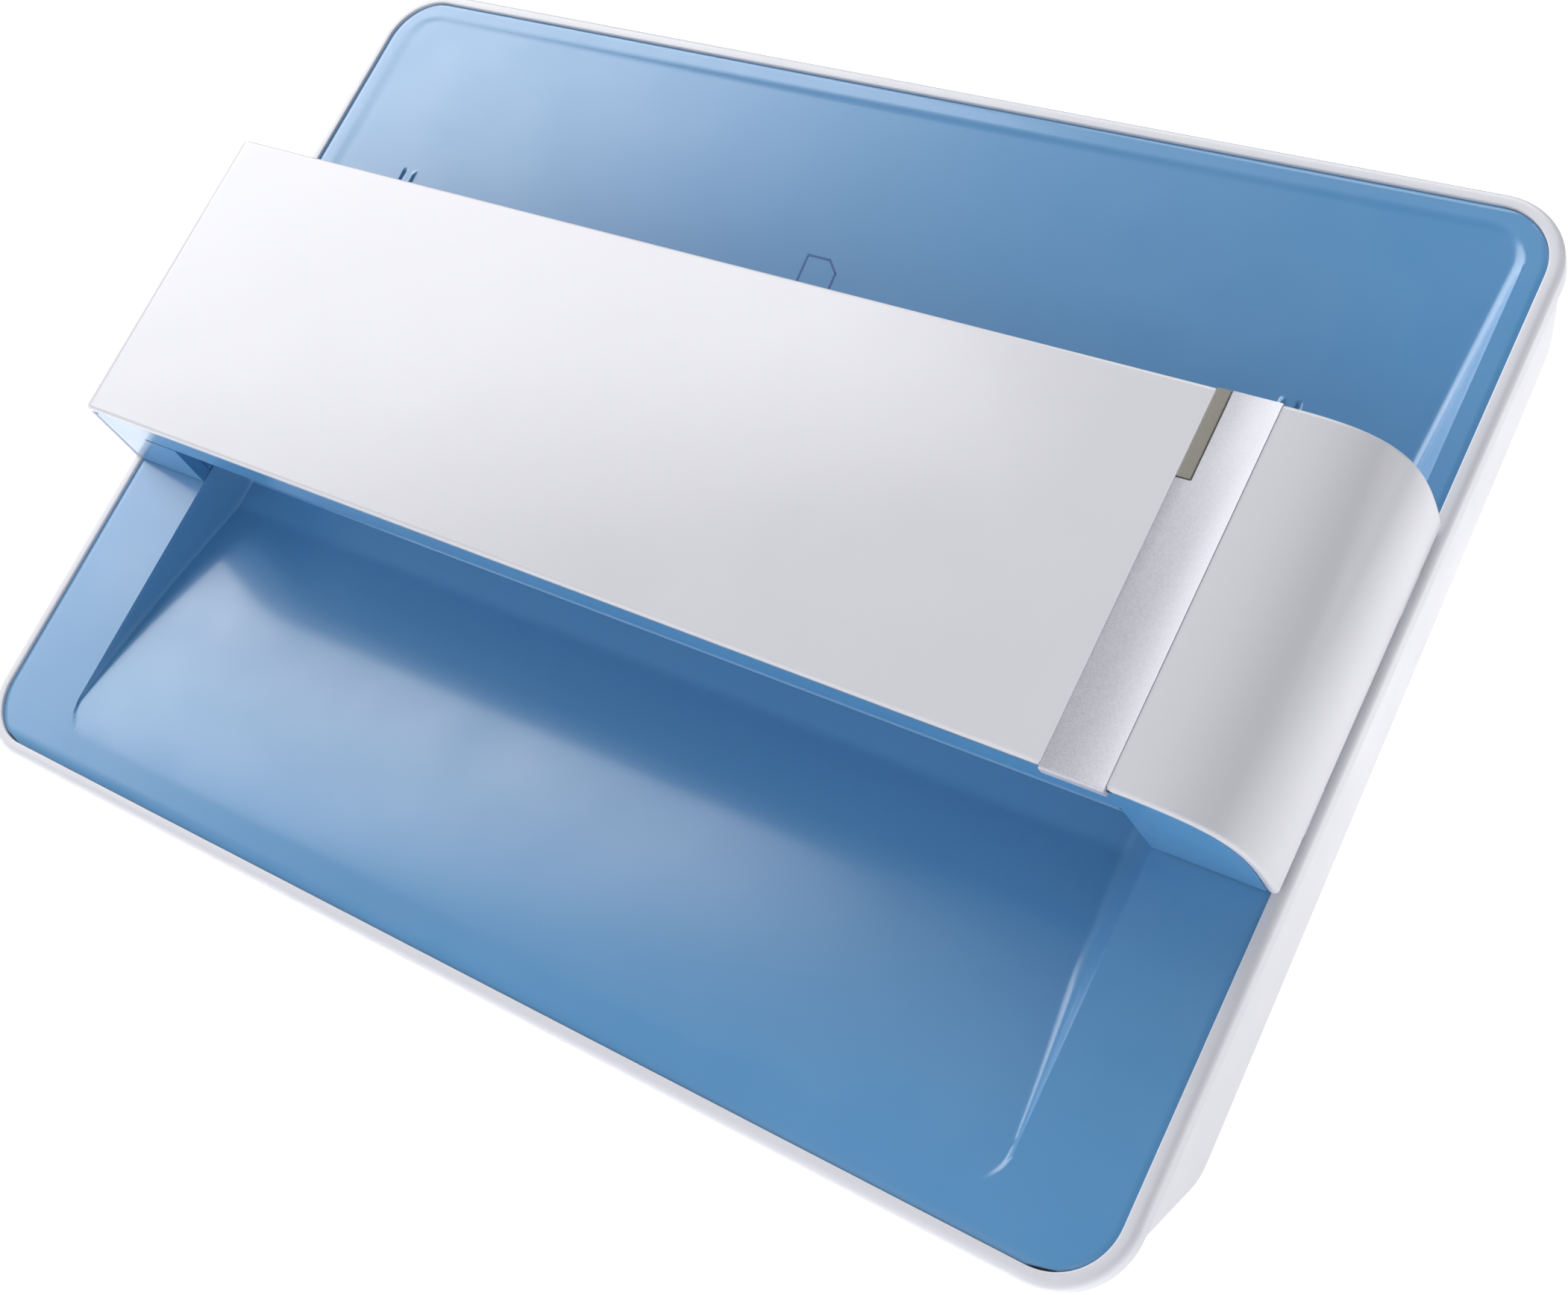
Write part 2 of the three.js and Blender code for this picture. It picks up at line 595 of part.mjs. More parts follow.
function feedDrive() {
  add("side_plate_left", sidePlate(-1), finish.zinc);
  add("side_plate_right", sidePlate(1), finish.zinc);
  [["entry", ENTRY_Y], ["exit", EXIT_Y]].forEach(([name, y]) => {
    add(`${name}_bushing_left`, bushing(-1, y), finish.acetal);
    add(`${name}_bushing_right`, bushing(1, y), finish.acetal);
    const far = name === "exit" ? BELT.motorX + BELT.width + 1.5 : BELT.transferX + BELT.width + 1.5;
    add(`${name}_shaft`, rodX(ROLLER.shaft, -126, far, y, AXLE_Z), finish.steel);
    ROLLER.at.forEach((x, i) => {
      const tyre = rodX(ROLLER.r, x - ROLLER.width / 2, x + ROLLER.width / 2, y, AXLE_Z, 32);
      const bore = rodX(ROLLER.shaft + 0.1, x - 30, x + 30, y, AXLE_Z);
      add(`${name}_roller_${i + 1}`, cut(tyre, bore), finish.greyRubber);
    });
  });
  const bore = ROLLER.shaft + 0.1;
  const transfer = (y) => pulley(PULLEY.shaft, BELT.transferX, y, AXLE_Z, bore);
  add("entry_pulley", transfer(ENTRY_Y), finish.acetal);
  const outer = pulley(PULLEY.shaft, BELT.motorX, EXIT_Y, AXLE_Z, bore);
  const sleeve = cut(
    rodX(ROLLER.shaft + 0.9, BELT.transferX, BELT.motorX + 1, EXIT_Y, AXLE_Z),
    rodX(bore, BELT.transferX - 1, BELT.motorX + 2, EXIT_Y, AXLE_Z),
  );
  add("exit_pulley", join(transfer(EXIT_Y), outer, sleeve), finish.acetal);

  const shaftLength = BELT.motorX + BELT.width + 1.5;
  add("feed_motor", cut(
    join(
      rodX(MOTOR.r, MOTOR.x0, MOTOR.x1, MOTOR.y, MOTOR.z, 32),
      block(MOTOR.x1 - 1, MOTOR.x1, MOTOR.y - 12, MOTOR.y + 12, MOTOR.z - 3, MOTOR.z + 3),
    ),
    rodX(1.2, MOTOR.x0 + 2, MOTOR.x1 + 1, MOTOR.y, MOTOR.z, 16),
  ), finish.zinc);
  add("motor_shaft", join(
    rodX(1, MOTOR.x0 + 3, shaftLength, MOTOR.y, MOTOR.z, 16),
    pulley(PULLEY.motor, BELT.motorX, MOTOR.y, MOTOR.z, 0.5),
  ), finish.steel);
  const entry = [ENTRY_Y, AXLE_Z, PULLEY.shaft];
  const exit = [EXIT_Y, AXLE_Z, PULLEY.shaft];
  const motor = [MOTOR.y, MOTOR.z, PULLEY.motor];
  add("transfer_belt", belt(exit, entry, BELT.transferX), finish.rubber);
  add("motor_belt", belt(motor, exit, BELT.motorX), finish.rubber);
}

// ---- Scanning parts --------------------------------------------------------------------------------

function paperFlag() {
  const { x, y, z, length, thick } = FLAG;
  const arm = block(x - thick / 2, x + thick / 2, y - 1.2, y + 1.2, z, z + length - 1.2);
  const tip = rodX(1.2, x - thick / 2, x + thick / 2, y, z + length - 1.2, 16);
  return join(arm, tip, rodX(1.9, x - 6, x + 6, y, z, 16));
}

function opticsBox() {
  const outer = shapeOf([[-26, -24], [-29, -62], [6, -81], [46, -50], [47, -21.5]]);
  const inner = shapeOf([[-22, -20], [-26, -60], [6, -78], [43, -49], [44, -18]]);
  const slit = block(-96, 96, -3, 9, -30, -10);
  return cut(alongX(outer, -98, 98), alongX(inner, -95.5, 95.5), slit);
}

function scanningParts() {
  const glassTop = FLAT_FLOOR - 0.05;
  add("scan_glass", block(
    -GLASS.half + GAP, GLASS.half - GAP, GLASS.y0 + GAP, GLASS.y1 - GAP, glassTop - GLASS.thick, glassTop,
  ), finish.glass);
  [-1, 1].forEach((side, i) => {
    const y = 3 + side * 5;
    add(`light_guide_${i + 1}`, rodX(1.8, -108, 108, y, -11.2, 16), finish.lens);
  });
  add("optics_box", opticsBox(), finish.dark);
  add("sensor_board", block(-34, 34, -22, -2, -79.5, -78), finish.board);
  add("paper_flag", paperFlag(), finish.dark);
  add("catch_magnet", rodZ(3, -7.5, -0.4, -133, 4), finish.zinc);
}

// ---- Rear housing, sockets and feet ----------------------------------------------------------------

function housingShell() {
  const { half, front, base, rearTop, joinY } = HOUSING;
  const backLine = (y) => heightOn([TUB.profile[1], TUB.profile[2]], y);
  const [frontY, frontZ] = toPanel([front, base + 12]);
  const outer = [
    toPanel([front, base]), toPanel([REAR_Y, base]), toPanel([REAR_Y, rearTop]),
    [joinY, backLine(joinY) - 0.5],
    [TUB.profile[1][0] + 0.5, TUB.profile[1][1] - 0.6], [frontY, frontZ - 0.6],
  ];
  const inner = [
    toPanel([front + WALL, base - 9]), toPanel([REAR_Y - WALL, base - 9]),
    toPanel([REAR_Y - WALL, rearTop - 1]), [joinY - 4, -5], [TUB.profile[1][0] + 4, -5],
  ];
  return cut(
    alongX(shapeOf(outer.reverse()), -half, half),
    alongX(shapeOf(inner.reverse()), WALL - half, half - WALL),
  );
}

// Cutters through the upright rear wall, in the upright frame, moved into the panel frame.
function uprightCutter(manifold) {
  const g = geometryOf(manifold);
  g.translate(0, -PANEL_Y, -PANEL_Z).rotateX(-LEAN);
  return solidOf(g);
}

const SOCKETS = { dc: -66, usb: -42, rocker: -90 };

function rearHousing() {
  const through = [REAR_Y - 6, REAR_Y + 2];
  const usb = block(SOCKETS.usb - 6.3, SOCKETS.usb + 6.3, ...through, PLUG_Z - 5.8, PLUG_Z + 5.8);
  const dc = rodY(5.3, ...through, SOCKETS.dc, PLUG_Z, 24);
  const rocker = block(SOCKETS.rocker - 7.3, SOCKETS.rocker + 7.3, ...through, PLUG_Z - 5.3, PLUG_Z + 5.3);
  const vents = Array.from({ length: 11 }, (_, i) => {
    const x = -40 + i * 8;
    return block(x - 1.5, x + 1.5, ...through, 50, 74);
  });
  return cut(housingShell(), ...[usb, dc, rocker, ...vents].map(uprightCutter));
}

function usbSocket() {
  const x = SOCKETS.usb;
  const shell = block(x - 6, x + 6, REAR_Y - 15, REAR_Y - 0.5, PLUG_Z - 5.5, PLUG_Z + 5.5);
  const mouth = block(x - 4.3, x + 4.3, REAR_Y - 10, REAR_Y + 1, PLUG_Z - 4, PLUG_Z + 4);
  return cut(shell, mouth);
}

function dcSocket() {
  const x = SOCKETS.dc;
  const body = join(
    block(x - 5, x + 5, REAR_Y - 15, REAR_Y - 3, PLUG_Z - 5.5, PLUG_Z + 5.2),
    rodY(5, REAR_Y - 4, REAR_Y - 0.5, x, PLUG_Z, 24),
  );
  const hole = rodY(3.1, REAR_Y - 10, REAR_Y + 1, x, PLUG_Z, 24);
  return join(cut(body, hole), rodY(1, REAR_Y - 11, REAR_Y - 1.5, x, PLUG_Z, 12));
}

function powerRocker() {
  const x = SOCKETS.rocker;
  const half = 4.1; // clear of the opening when it tips
  const y = REAR_Y - 3.2;
  const face = shapeOf([
    [y - 3, PLUG_Z - 3], [y - 3, PLUG_Z + 3],
    [y + 1.6, PLUG_Z + half], [y + 2, PLUG_Z], [y + 3, PLUG_Z - half],
  ].reverse());
  return join(alongX(face, x - 6.9, x + 6.9), rodX(1, x - 7.2, x + 7.2, y - 1.5, PLUG_Z, 12));
}

function footSolid(x, y) {
  const profile = [[0, 0], [FOOT.r - 0.6, 0], [FOOT.r, 0.6], [FOOT.r - 0.5, FOOT.height], [0, FOOT.height]];
  const g = new THREE.LatheGeometry(profile.map(([r, z]) => new THREE.Vector2(r, z)), 28);
  return solidOf(g.rotateX(Math.PI / 2).translate(x, y, 0));
}

function screwSolid(x, y) {
  const head = rodZ(2.8, HOUSING.base + 0.5, HOUSING.base + 1.5, x, y, 20);
  const shank = rodZ(1.3, HOUSING.base + 1.2, HOUSING.base + 9, x, y, 16);
  const slots = [
    block(x - 2, x + 2, y - 0.4, y + 0.4, 0, HOUSING.base + 1),
    block(x - 0.4, x + 0.4, y - 2, y + 2, 0, HOUSING.base + 1),
  ];
  return cut(join(head, shank), ...slots);
}

function bottomCover(screws) {
  const { half, front, base } = HOUSING;
  const z0 = base + 0.4;
  const plate = block(
    -half + WALL + GAP, half - WALL - GAP, front + WALL + GAP, REAR_Y - WALL - GAP, z0, z0 + 2.2,
  );
  const holes = screws.flatMap(([x, y]) => [
    rodZ(1.6, -1, 9, x, y, 16), rodZ(3.1, -1, base + 1.8, x, y, 20),
  ]);
  return cut(plate, ...holes);
}

function rearParts() {
  const sides = [["left", -1], ["right", 1]];
  const screws = sides.flatMap(([, s]) => [[s * 70, FOOT.yFront], [s * 70, FOOT.yRear]]);
  add("rear_housing", rearHousing(), finish.white);
  add("bottom_cover", bottomCover(screws), finish.white, upright);
  add("main_board", block(-100, 30, REAR_Y - 17.2, REAR_Y - 15.6, 14, 74), finish.board, upright);
  add("usb_socket", usbSocket(), finish.zinc, upright);
  add("dc_socket", dcSocket(), finish.dark, upright);
  add("power_rocker", powerRocker(), finish.dark, upright);
  sides.forEach(([side, s]) => {
    add(`foot_front_${side}`, footSolid(s * FOOT.x, FOOT.yFront), finish.rubber, upright);
    add(`foot_rear_${side}`, footSolid(s * FOOT.x, FOOT.yRear), finish.rubber, upright);
  });
  screws.forEach(([x, y], i) => add(`bottom_screw_${i + 1}`, screwSolid(x, y), finish.zinc, upright));
}

// ---- Assembly --------------------------------------------------------------------------------------

add("base_shell", baseShell(), finish.white);
add("deck_tray", deckTray(), finish.blue);
scanningParts();
feedDrive();
bridgeCover();
rearParts();

const scanner = new THREE.Group();
scanner.add(panel, upright);

export default scanner;
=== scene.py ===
"""Looks for a sheet-fed photo scanner: a blue tray in a white rim, leaning back on a wedge-shaped housing,
with a hinged white bridge across it. Sizes are in millimetres and in the panel frame (X across the tray,
Y up its slope, Z straight out of it) unless a name says otherwise. PANEL turns them into the CAD's frame.
"""

import json
import math

import bmesh
import bpy
import numpy as np
from mathutils import Matrix, Vector


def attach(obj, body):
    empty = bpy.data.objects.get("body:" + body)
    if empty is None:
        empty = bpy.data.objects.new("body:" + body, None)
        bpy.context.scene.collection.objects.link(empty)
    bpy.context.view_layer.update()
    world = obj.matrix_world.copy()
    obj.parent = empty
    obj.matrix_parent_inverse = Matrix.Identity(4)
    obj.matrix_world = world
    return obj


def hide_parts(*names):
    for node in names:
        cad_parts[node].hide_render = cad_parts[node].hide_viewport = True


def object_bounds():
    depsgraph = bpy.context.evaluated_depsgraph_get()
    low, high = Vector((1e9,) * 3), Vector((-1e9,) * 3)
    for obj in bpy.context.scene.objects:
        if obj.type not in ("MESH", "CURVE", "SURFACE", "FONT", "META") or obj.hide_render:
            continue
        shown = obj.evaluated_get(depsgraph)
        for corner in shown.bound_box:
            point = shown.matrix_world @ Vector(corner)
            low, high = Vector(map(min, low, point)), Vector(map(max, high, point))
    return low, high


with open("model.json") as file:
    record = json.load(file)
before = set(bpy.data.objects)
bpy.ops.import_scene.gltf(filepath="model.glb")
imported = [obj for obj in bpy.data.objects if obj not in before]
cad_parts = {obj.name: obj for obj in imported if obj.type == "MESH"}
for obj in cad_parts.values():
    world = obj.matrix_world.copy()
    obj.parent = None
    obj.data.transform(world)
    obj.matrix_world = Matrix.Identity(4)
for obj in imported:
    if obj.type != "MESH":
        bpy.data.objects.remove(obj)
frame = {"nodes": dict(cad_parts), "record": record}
cad_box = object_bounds()

# ---- Driving dimensions -----------------------------------------------------------------------------

MM = 0.001
LEAN = math.radians(45)
PANEL_WIDTH = 289.0
PANEL_LENGTH = 208.5
PANEL_CORNER = 14.8
RIM = 2.75
RIM_TOP = 0.4
RIM_DEPTH = 4.0
RIM_FILLET = 1.5
GAP = 0.3
DECK_GAP = 0.07
SKIN = 2.0
DECK_SKIN = 1.8
TUB_SKIN = 2.2
CREASE = 0.25  # rounding of the deck's and the rim's edges where they meet

TUB_HALF = 144.35
TUB_PROFILE = [(-92.1, -3.0), (-76.5, -27.8), (85.7, -17.7), (91.0, -3.0)]
TUB_ROUND = 7.0
TUB_DRAFT = 0.0004

CHANNEL_HALF = 120.1
CHANNEL_FRONT = -94.0
CHANNEL_CORNER = 8.0
CHANNEL_SLOPES, CHANNEL_FILLETS = (4.5, 1.55), (1.6, 3.2)  # of its left and right walls
CHANNEL_CURVE = 1.35
FLOOR = [(-94.0, 0.0), (-31.0, 10.6), (-24.5, 10.6), (-21.0, 7.0), (28.0, 7.0), (50.0, 1.0), (52.0, 0.0)]
RECESS_HALF = 137.4
RECESS_TOP = 98.0
RECESS_START = 38.6
RECESS_DEPTH = 6.3
RECESS_CORNER = 8.0
RECESS_BLEND = 110.0
RECESS_SLOPE, RECESS_FILLET = 1.25, 1.6
GUIDE_MARKS = [(-115.4, -0.5), (-112.4, 0.5), (105.6, 0.6), (108.9, -0.5)]  # X, height
GUIDE_MARK_WIDTH, GUIDE_MARK_END = 0.45, 57.2
ROLLER_X, ROLLER_HALF = (-70.0, 0.0, 70.0), 14.0
ROLLER_SLOTS = [(12.6, 27.0), (-21.0, -6.6)]
WINDOW_HALF, WINDOW_Y = 114.0, (-5.0, 11.0)
FLAG_X, FLAG_HALF, FLAG_Y = 40.0, 2.4, (21.5, 35.5)
ICON_X, ICON_Y, ICON_FOLD, ICON_LINE = (-3.0, 5.1), (53.5, 61.8), 2.6, 0.45

FRONT, REAR = -31.0, 39.3
HEIGHT = 31.9
SEAT = 0.7
LEFT_FOOT, LEFT_TOP, LEFT_ROUND = 143.6, 130.0, 4.0
BEND_AT, RIGHT, SQUARENESS = 113.0, 143.4, 4
RIGHT_FOOT = 2.2
BRIDGE_LIP = 0.8
STRIP_X = (108.6, 120.3)
STRIP_BED = 0.9
STRIP_PROUD, STRIP_DROP = 0.7, 2.3  # of its turned-down front edge
LED_X = 111.2
LED_Y = 22.3

HINGE_X, HINGE_Z, BEAD = 140.6, 3.4, 2.7
EARS = [(-20.0, -11.0), (21.0, 30.0)]
BEADS = [(-27.0, -20.3), (-10.7, 20.7), (30.3, 36.0)]

HOUSING_HALF = 113.0
HOUSING_FRONT, HOUSING_BASE, HOUSING_TOP = -52.0, 2.0, 98.0  # upright frame
HOUSING_WALL = 2.4
PLUG_Z = 22.0
SOCKETS = [(-42.0, 6.3, 5.8, 0.8), (-66.0, 5.3, 5.3, 5.29), (-90.0, 7.3, 5.3, 1.0)]  # X, half sizes, corner
VENTS, VENT_X, VENT_PITCH = 11, -40.0, 8.0
VENT_Z, VENT_HALF_WIDTH, VENT_HALF_HEIGHT = 62.0, 1.5, 12.0

cad_low, cad_high = (corner / MM for corner in cad_box)
reach = (PANEL_LENGTH / 2 - RIM_FILLET) * math.sin(LEAN)
reach += (RIM_TOP - RIM_FILLET) * math.cos(LEAN) + RIM_FILLET
PANEL_Y = cad_low.y + reach
PANEL_Z = cad_high.z - reach
UPRIGHT = Matrix.Scale(MM, 4)
PANEL = UPRIGHT @ Matrix.Translation((0, PANEL_Y, PANEL_Z)) @ Matrix.Rotation(LEAN, 4, "X")


# ---- Outlines ---------------------------------------------------------------------------------------


def arc(cx, cy, radius, start, end, steps):
    """Points on an arc, angles in degrees."""
    angles = np.radians(np.linspace(start, end, steps + 1))
    return [(cx + radius * math.cos(a), cy + radius * math.sin(a)) for a in angles]


def rounded_rectangle(half_x, half_y, radius, steps=20):
    """Anticlockwise from the right-hand side."""
    x, y = half_x - radius, half_y - radius
    return (
        arc(x, y, radius, 0, 90, steps)
        + arc(-x, y, radius, 90, 180, steps)
        + arc(-x, -y, radius, 180, 270, steps)
        + arc(x, -y, radius, 270, 360, steps)
    )


def rounded(points, radii, steps=8):
    """A closed outline with each corner replaced by an arc of its own radius."""
    out = []
    count = len(points)
    for i in range(count):
        p = Vector(points[i])
        a = (Vector(points[i - 1]) - p).normalized()
        b = (Vector(points[(i + 1) % count]) - p).normalized()
        radius = radii if isinstance(radii, (int, float)) else radii[i]
        half = a.angle(b) / 2
        if radius <= 0 or half > math.pi / 2 - 0.01:
            out.append(tuple(p))
            continue
        centre = p + (a + b).normalized() * (radius / math.sin(half))
        start = p + a * (radius / math.tan(half)) - centre
        end = p + b * (radius / math.tan(half)) - centre
        sweep = start.angle_signed(end)
        for k in range(steps + 1):
            turn = Matrix.Rotation(-sweep * k / steps, 2)
            out.append(tuple(centre + turn @ start))
    return out


def offset(points, distance, closed=True):
    """The outline moved outwards by distance, where it runs anticlockwise, with mitred corners."""
    p = np.array(points, float)
    before = p - np.roll(p, 1, axis=0)
    after = np.roll(p, -1, axis=0) - p
    if not closed:
        before[0] = after[0]
        after[-1] = before[-1]
    before /= np.maximum(np.linalg.norm(before, axis=1, keepdims=True), 1e-9)
    after /= np.maximum(np.linalg.norm(after, axis=1, keepdims=True), 1e-9)
    n1 = np.stack([before[:, 1], -before[:, 0]], axis=1)
    n2 = np.stack([after[:, 1], -after[:, 0]], axis=1)
    mid = n1 + n2
    mid /= np.linalg.norm(mid, axis=1, keepdims=True)
    reach_out = distance / np.maximum((mid * n1).sum(axis=1), 0.35)
    return [tuple(q) for q in p + mid * reach_out[:, None]]


# ---- Meshes -----------------------------------------------------------------------------------------


def loft(rings, cap=True, closed=False):
    """Quads between rings of 3-D points. cap closes both ends; closed joins the last ring to the first."""
    n = len(rings[0])
    verts = [p for ring in rings for p in ring]
    faces = []
    count = len(rings)
    for k in range(count if closed else count - 1):
        a, b = k * n, ((k + 1) % count) * n
        faces += [(a + i, a + (i + 1) % n, b + (i + 1) % n, b + i) for i in range(n)]
    if cap and not closed:
        faces.append(tuple(range(n))[::-1])
        faces.append(tuple(range((count - 1) * n, count * n)))
    return verts, faces


def joined(*parts):
    """Several (verts, faces) as one."""
    verts, faces = [], []
    for v, f in parts:
        start = len(verts)
        verts += v
        faces += [tuple(i + start for i in face) for face in f]
    return verts, faces


def pillow(outline, low, high, radius, place, steps=5):
    """An outline swept from low to high, with the edges of both ends rounded. place(a, b, t) gives the
    3-D point for a point of the outline and a distance along the sweep.
    """
    rings = []
    for k in range(steps + 1):
        a = math.radians(90 * k / steps)
        inset = radius * (1 - math.sin(a))
        rings.append((low + radius * (1 - math.cos(a)), inset))
    for t, inset in list(rings)[::-1]:
        rings.append((low + high - t, inset))
    placed = []
    for t, inset in rings:
        ring = outline if inset < 1e-6 else offset(outline, -inset)
        placed.append([place(a, b, t) for a, b in ring])
    return loft(placed)


def along_x(a, b, t):
    return (t, a, b)


def along_y(a, b, t):
    return (a, t, b)


def along_z(a, b, t):
    return (a, b, t)


def mark_sharp(mesh, limit):
    """Smooth shading, with edges sharper than limit degrees left crisp."""
    work = bmesh.new()
    work.from_mesh(mesh)
    bmesh.ops.recalc_face_normals(work, faces=work.faces)
    for face in work.faces:
        face.smooth = True
    for edge in work.edges:
        edge.smooth = len(edge.link_faces) == 2 and edge.calc_face_angle(0) < math.radians(limit)
    work.to_mesh(mesh)
    work.free()


def piece(name, geometry, body, slot, material, matrix=PANEL, replaces=(), sharp=32):
    """A mesh object in the CAD's frame that rides on a body and stands for CAD nodes."""
    verts, faces = geometry
    mesh = bpy.data.meshes.new(name)
    mesh.from_pydata([matrix @ Vector(v) for v in verts], [], faces)
    mesh.validate()
    mark_sharp(mesh, sharp)
    mesh.materials.append(material)
    made = bpy.data.objects.new(name, mesh)
    bpy.context.scene.collection.objects.link(made)
    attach(made, body)
    if replaces:
        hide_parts(*replaces)
    return made


def thicken(target, thickness):
    """Gives a single skin its thickness, on the inner side."""
    skin = target.modifiers.new("thickness", "SOLIDIFY")
    skin.thickness = thickness * MM
    skin.offset = -1


def carve(target, *cutters):
    """Cuts each cutter's mesh out of target, then removes the cutters."""
    for cutter in cutters:
        boolean = target.modifiers.new("cut", "BOOLEAN")
        boolean.operation = "DIFFERENCE"
        boolean.solver = "EXACT"
        boolean.object = cutter
        graph = bpy.context.evaluated_depsgraph_get()
        mesh = bpy.data.meshes.new_from_object(target.evaluated_get(graph))
        target.modifiers.clear()
        target.data = mesh
        bpy.data.objects.remove(cutter)
    return target


def cutter(geometry, matrix=PANEL):
    """A closed mesh that carve() takes away from a piece."""
    verts, faces = geometry
    mesh = bpy.data.meshes.new("cutter")
    mesh.from_pydata([matrix @ Vector(v) for v in verts], [], faces)
    work = bmesh.new()
    work.from_mesh(mesh)
    bmesh.ops.recalc_face_normals(work, faces=work.faces)
    work.to_mesh(mesh)
    work.free()
    made = bpy.data.objects.new("cutter", mesh)
    bpy.context.scene.collection.objects.link(made)
    return made


def refine(node, width, angle=35):
    """A CAD node as it is, with its flat facets merged and its edges slightly rounded."""
    target = frame["nodes"][node]
    weld = target.modifiers.new("weld", "WELD")
    weld.merge_threshold = 0.00001
    flat = target.modifiers.new("flat", "DECIMATE")
    flat.decimate_type = "DISSOLVE"
    flat.angle_limit = math.radians(1)
    bevel = target.modifiers.new("edges", "BEVEL")
    bevel.width = width * MM
    bevel.segments = 2
    bevel.limit_method = "ANGLE"
    bevel.angle_limit = math.radians(angle)
    normals = target.modifiers.new("normals", "WEIGHTED_NORMAL")
    normals.keep_sharp = True
    for face in target.data.polygons:
        face.use_smooth = True


# ---- Materials --------------------------------------------------------------------------------------


class Shader:
    """A Principled material and short ways to add nodes to it."""

    def __init__(self, name, color, roughness, metallic=0.0):
        self.material = bpy.data.materials.new(name)
        self.material.use_nodes = True
        self.tree = self.material.node_tree
        self.bsdf = self.tree.nodes["Principled BSDF"]
        self.color = color
        self.set("Base Color", (*color, 1))
        self.set("Roughness", roughness)
        self.set("Metallic", metallic)
        self.place = self.node("ShaderNodeTexCoord").outputs["Object"]

    def node(self, kind, **values):
        made = self.tree.nodes.new(kind)
        for key, value in values.items():
            setattr(made, key, value)
        return made

    def set(self, socket, value):
        self.bsdf.inputs[socket].default_value = value

    def link(self, a, b):
        self.tree.links.new(a, b)

    def noise(self, scale, detail=3.0, stretch=(1, 1, 1)):
        where = self.node("ShaderNodeMapping")
        where.inputs["Scale"].default_value = stretch
        made = self.node("ShaderNodeTexNoise")
        made.inputs["Scale"].default_value = scale
        made.inputs["Detail"].default_value = detail
        self.link(self.place, where.inputs["Vector"])
        self.link(where.outputs["Vector"], made.inputs["Vector"])
        return made.outputs["Fac"]

    def range(self, value, low, high):
        made = self.node("ShaderNodeMapRange")
        made.inputs["From Min"].default_value = 0.3
        made.inputs["From Max"].default_value = 0.7
        made.inputs["To Min"].default_value = low
        made.inputs["To Max"].default_value = high
        self.link(value, made.inputs["Value"])
        return made.outputs["Result"]

    def vary_color(self, value, amount):
        """The base colour, darker and lighter by amount as value goes from low to high."""
        ramp = self.node("ShaderNodeValToRGB")
        ramp.color_ramp.elements[0].position = 0.3
        ramp.color_ramp.elements[1].position = 0.7
        ramp.color_ramp.elements[0].color = (*[c * (1 - amount) for c in self.color], 1)
        ramp.color_ramp.elements[1].color = (*[min(c * (1 + amount), 1) for c in self.color], 1)
        self.link(value, ramp.inputs["Fac"])
        self.link(ramp.outputs["Color"], self.bsdf.inputs["Base Color"])

    def vary_roughness(self, value, low, high):
        self.link(self.range(value, low, high), self.bsdf.inputs["Roughness"])

    def bump(self, value, height, strength=1.0):
        """Relief of a height in metres."""
        made = self.node("ShaderNodeBump")
        made.inputs["Distance"].default_value = height
        made.inputs["Strength"].default_value = strength
        self.link(value, made.inputs["Height"])
        before = self.bsdf.inputs["Normal"].links
        if before:
            self.link(before[0].from_socket, made.inputs["Normal"])
        self.link(made.outputs["Normal"], self.bsdf.inputs["Normal"])


def srgb(r, g, b):
    """A colour given on a 0 to 255 scale."""
    return tuple(((c / 255 + 0.055) / 1.055) ** 2.4 if c > 10 else c / 255 / 12.92 for c in (r, g, b))


def moulded(name, color, roughness, coat, grain=0.000006, grain_scale=2600, coat_roughness=0.03):
    """Injection-moulded plastic: slow drift in tone, handling marks in the gloss and a fine skin texture."""
    s = Shader(name, color, roughness)
    s.set("IOR", 1.5)
    s.set("Coat Weight", coat)
    s.set("Coat Roughness", coat_roughness)
    s.vary_color(s.noise(14, 2), 0.012)
    s.vary_roughness(s.noise(55, 5), roughness * 0.82, roughness * 1.2)
    s.bump(s.noise(grain_scale, 2), grain)
    s.bump(s.noise(9, 1), 0.00012, 0.25)
    return s.material


def sparkle_paint(name, color):
    """Silver paint: fine metal flakes under a satin coat."""
    s = Shader(name, color, 0.46, 0.25)
    flakes = s.node("ShaderNodeTexVoronoi")
    flakes.inputs["Scale"].default_value = 5200
    s.link(s.place, flakes.inputs["Vector"])
    grey = s.node("ShaderNodeRGBToBW")
    s.link(flakes.outputs["Color"], grey.inputs["Color"])
    s.vary_color(grey.outputs["Val"], 0.055)
    s.vary_roughness(grey.outputs["Val"], 0.4, 0.54)
    s.bump(grey.outputs["Val"], 0.000003, 0.4)
    s.set("Coat Weight", 0.3)
    s.set("Coat Roughness", 0.15)
    return s.material


def turned_metal(name, color, roughness, stretch):
    """Metal with fine lines along one direction."""
    s = Shader(name, color, roughness, 1.0)
    lines = s.noise(900, 4, stretch)
    s.vary_color(s.noise(60, 3), 0.06)
    s.vary_roughness(lines, roughness * 0.7, roughness * 1.35)
    s.bump(lines, 0.000012, 0.7)
    return s.material


def rubber(name, color, grain_scale):
    s = Shader(name, color, 0.75)
    s.vary_color(s.noise(120, 4), 0.12)
    s.vary_roughness(s.noise(400, 3), 0.62, 0.88)
    s.bump(s.noise(grain_scale, 3), 0.00004, 0.8)
    return s.material


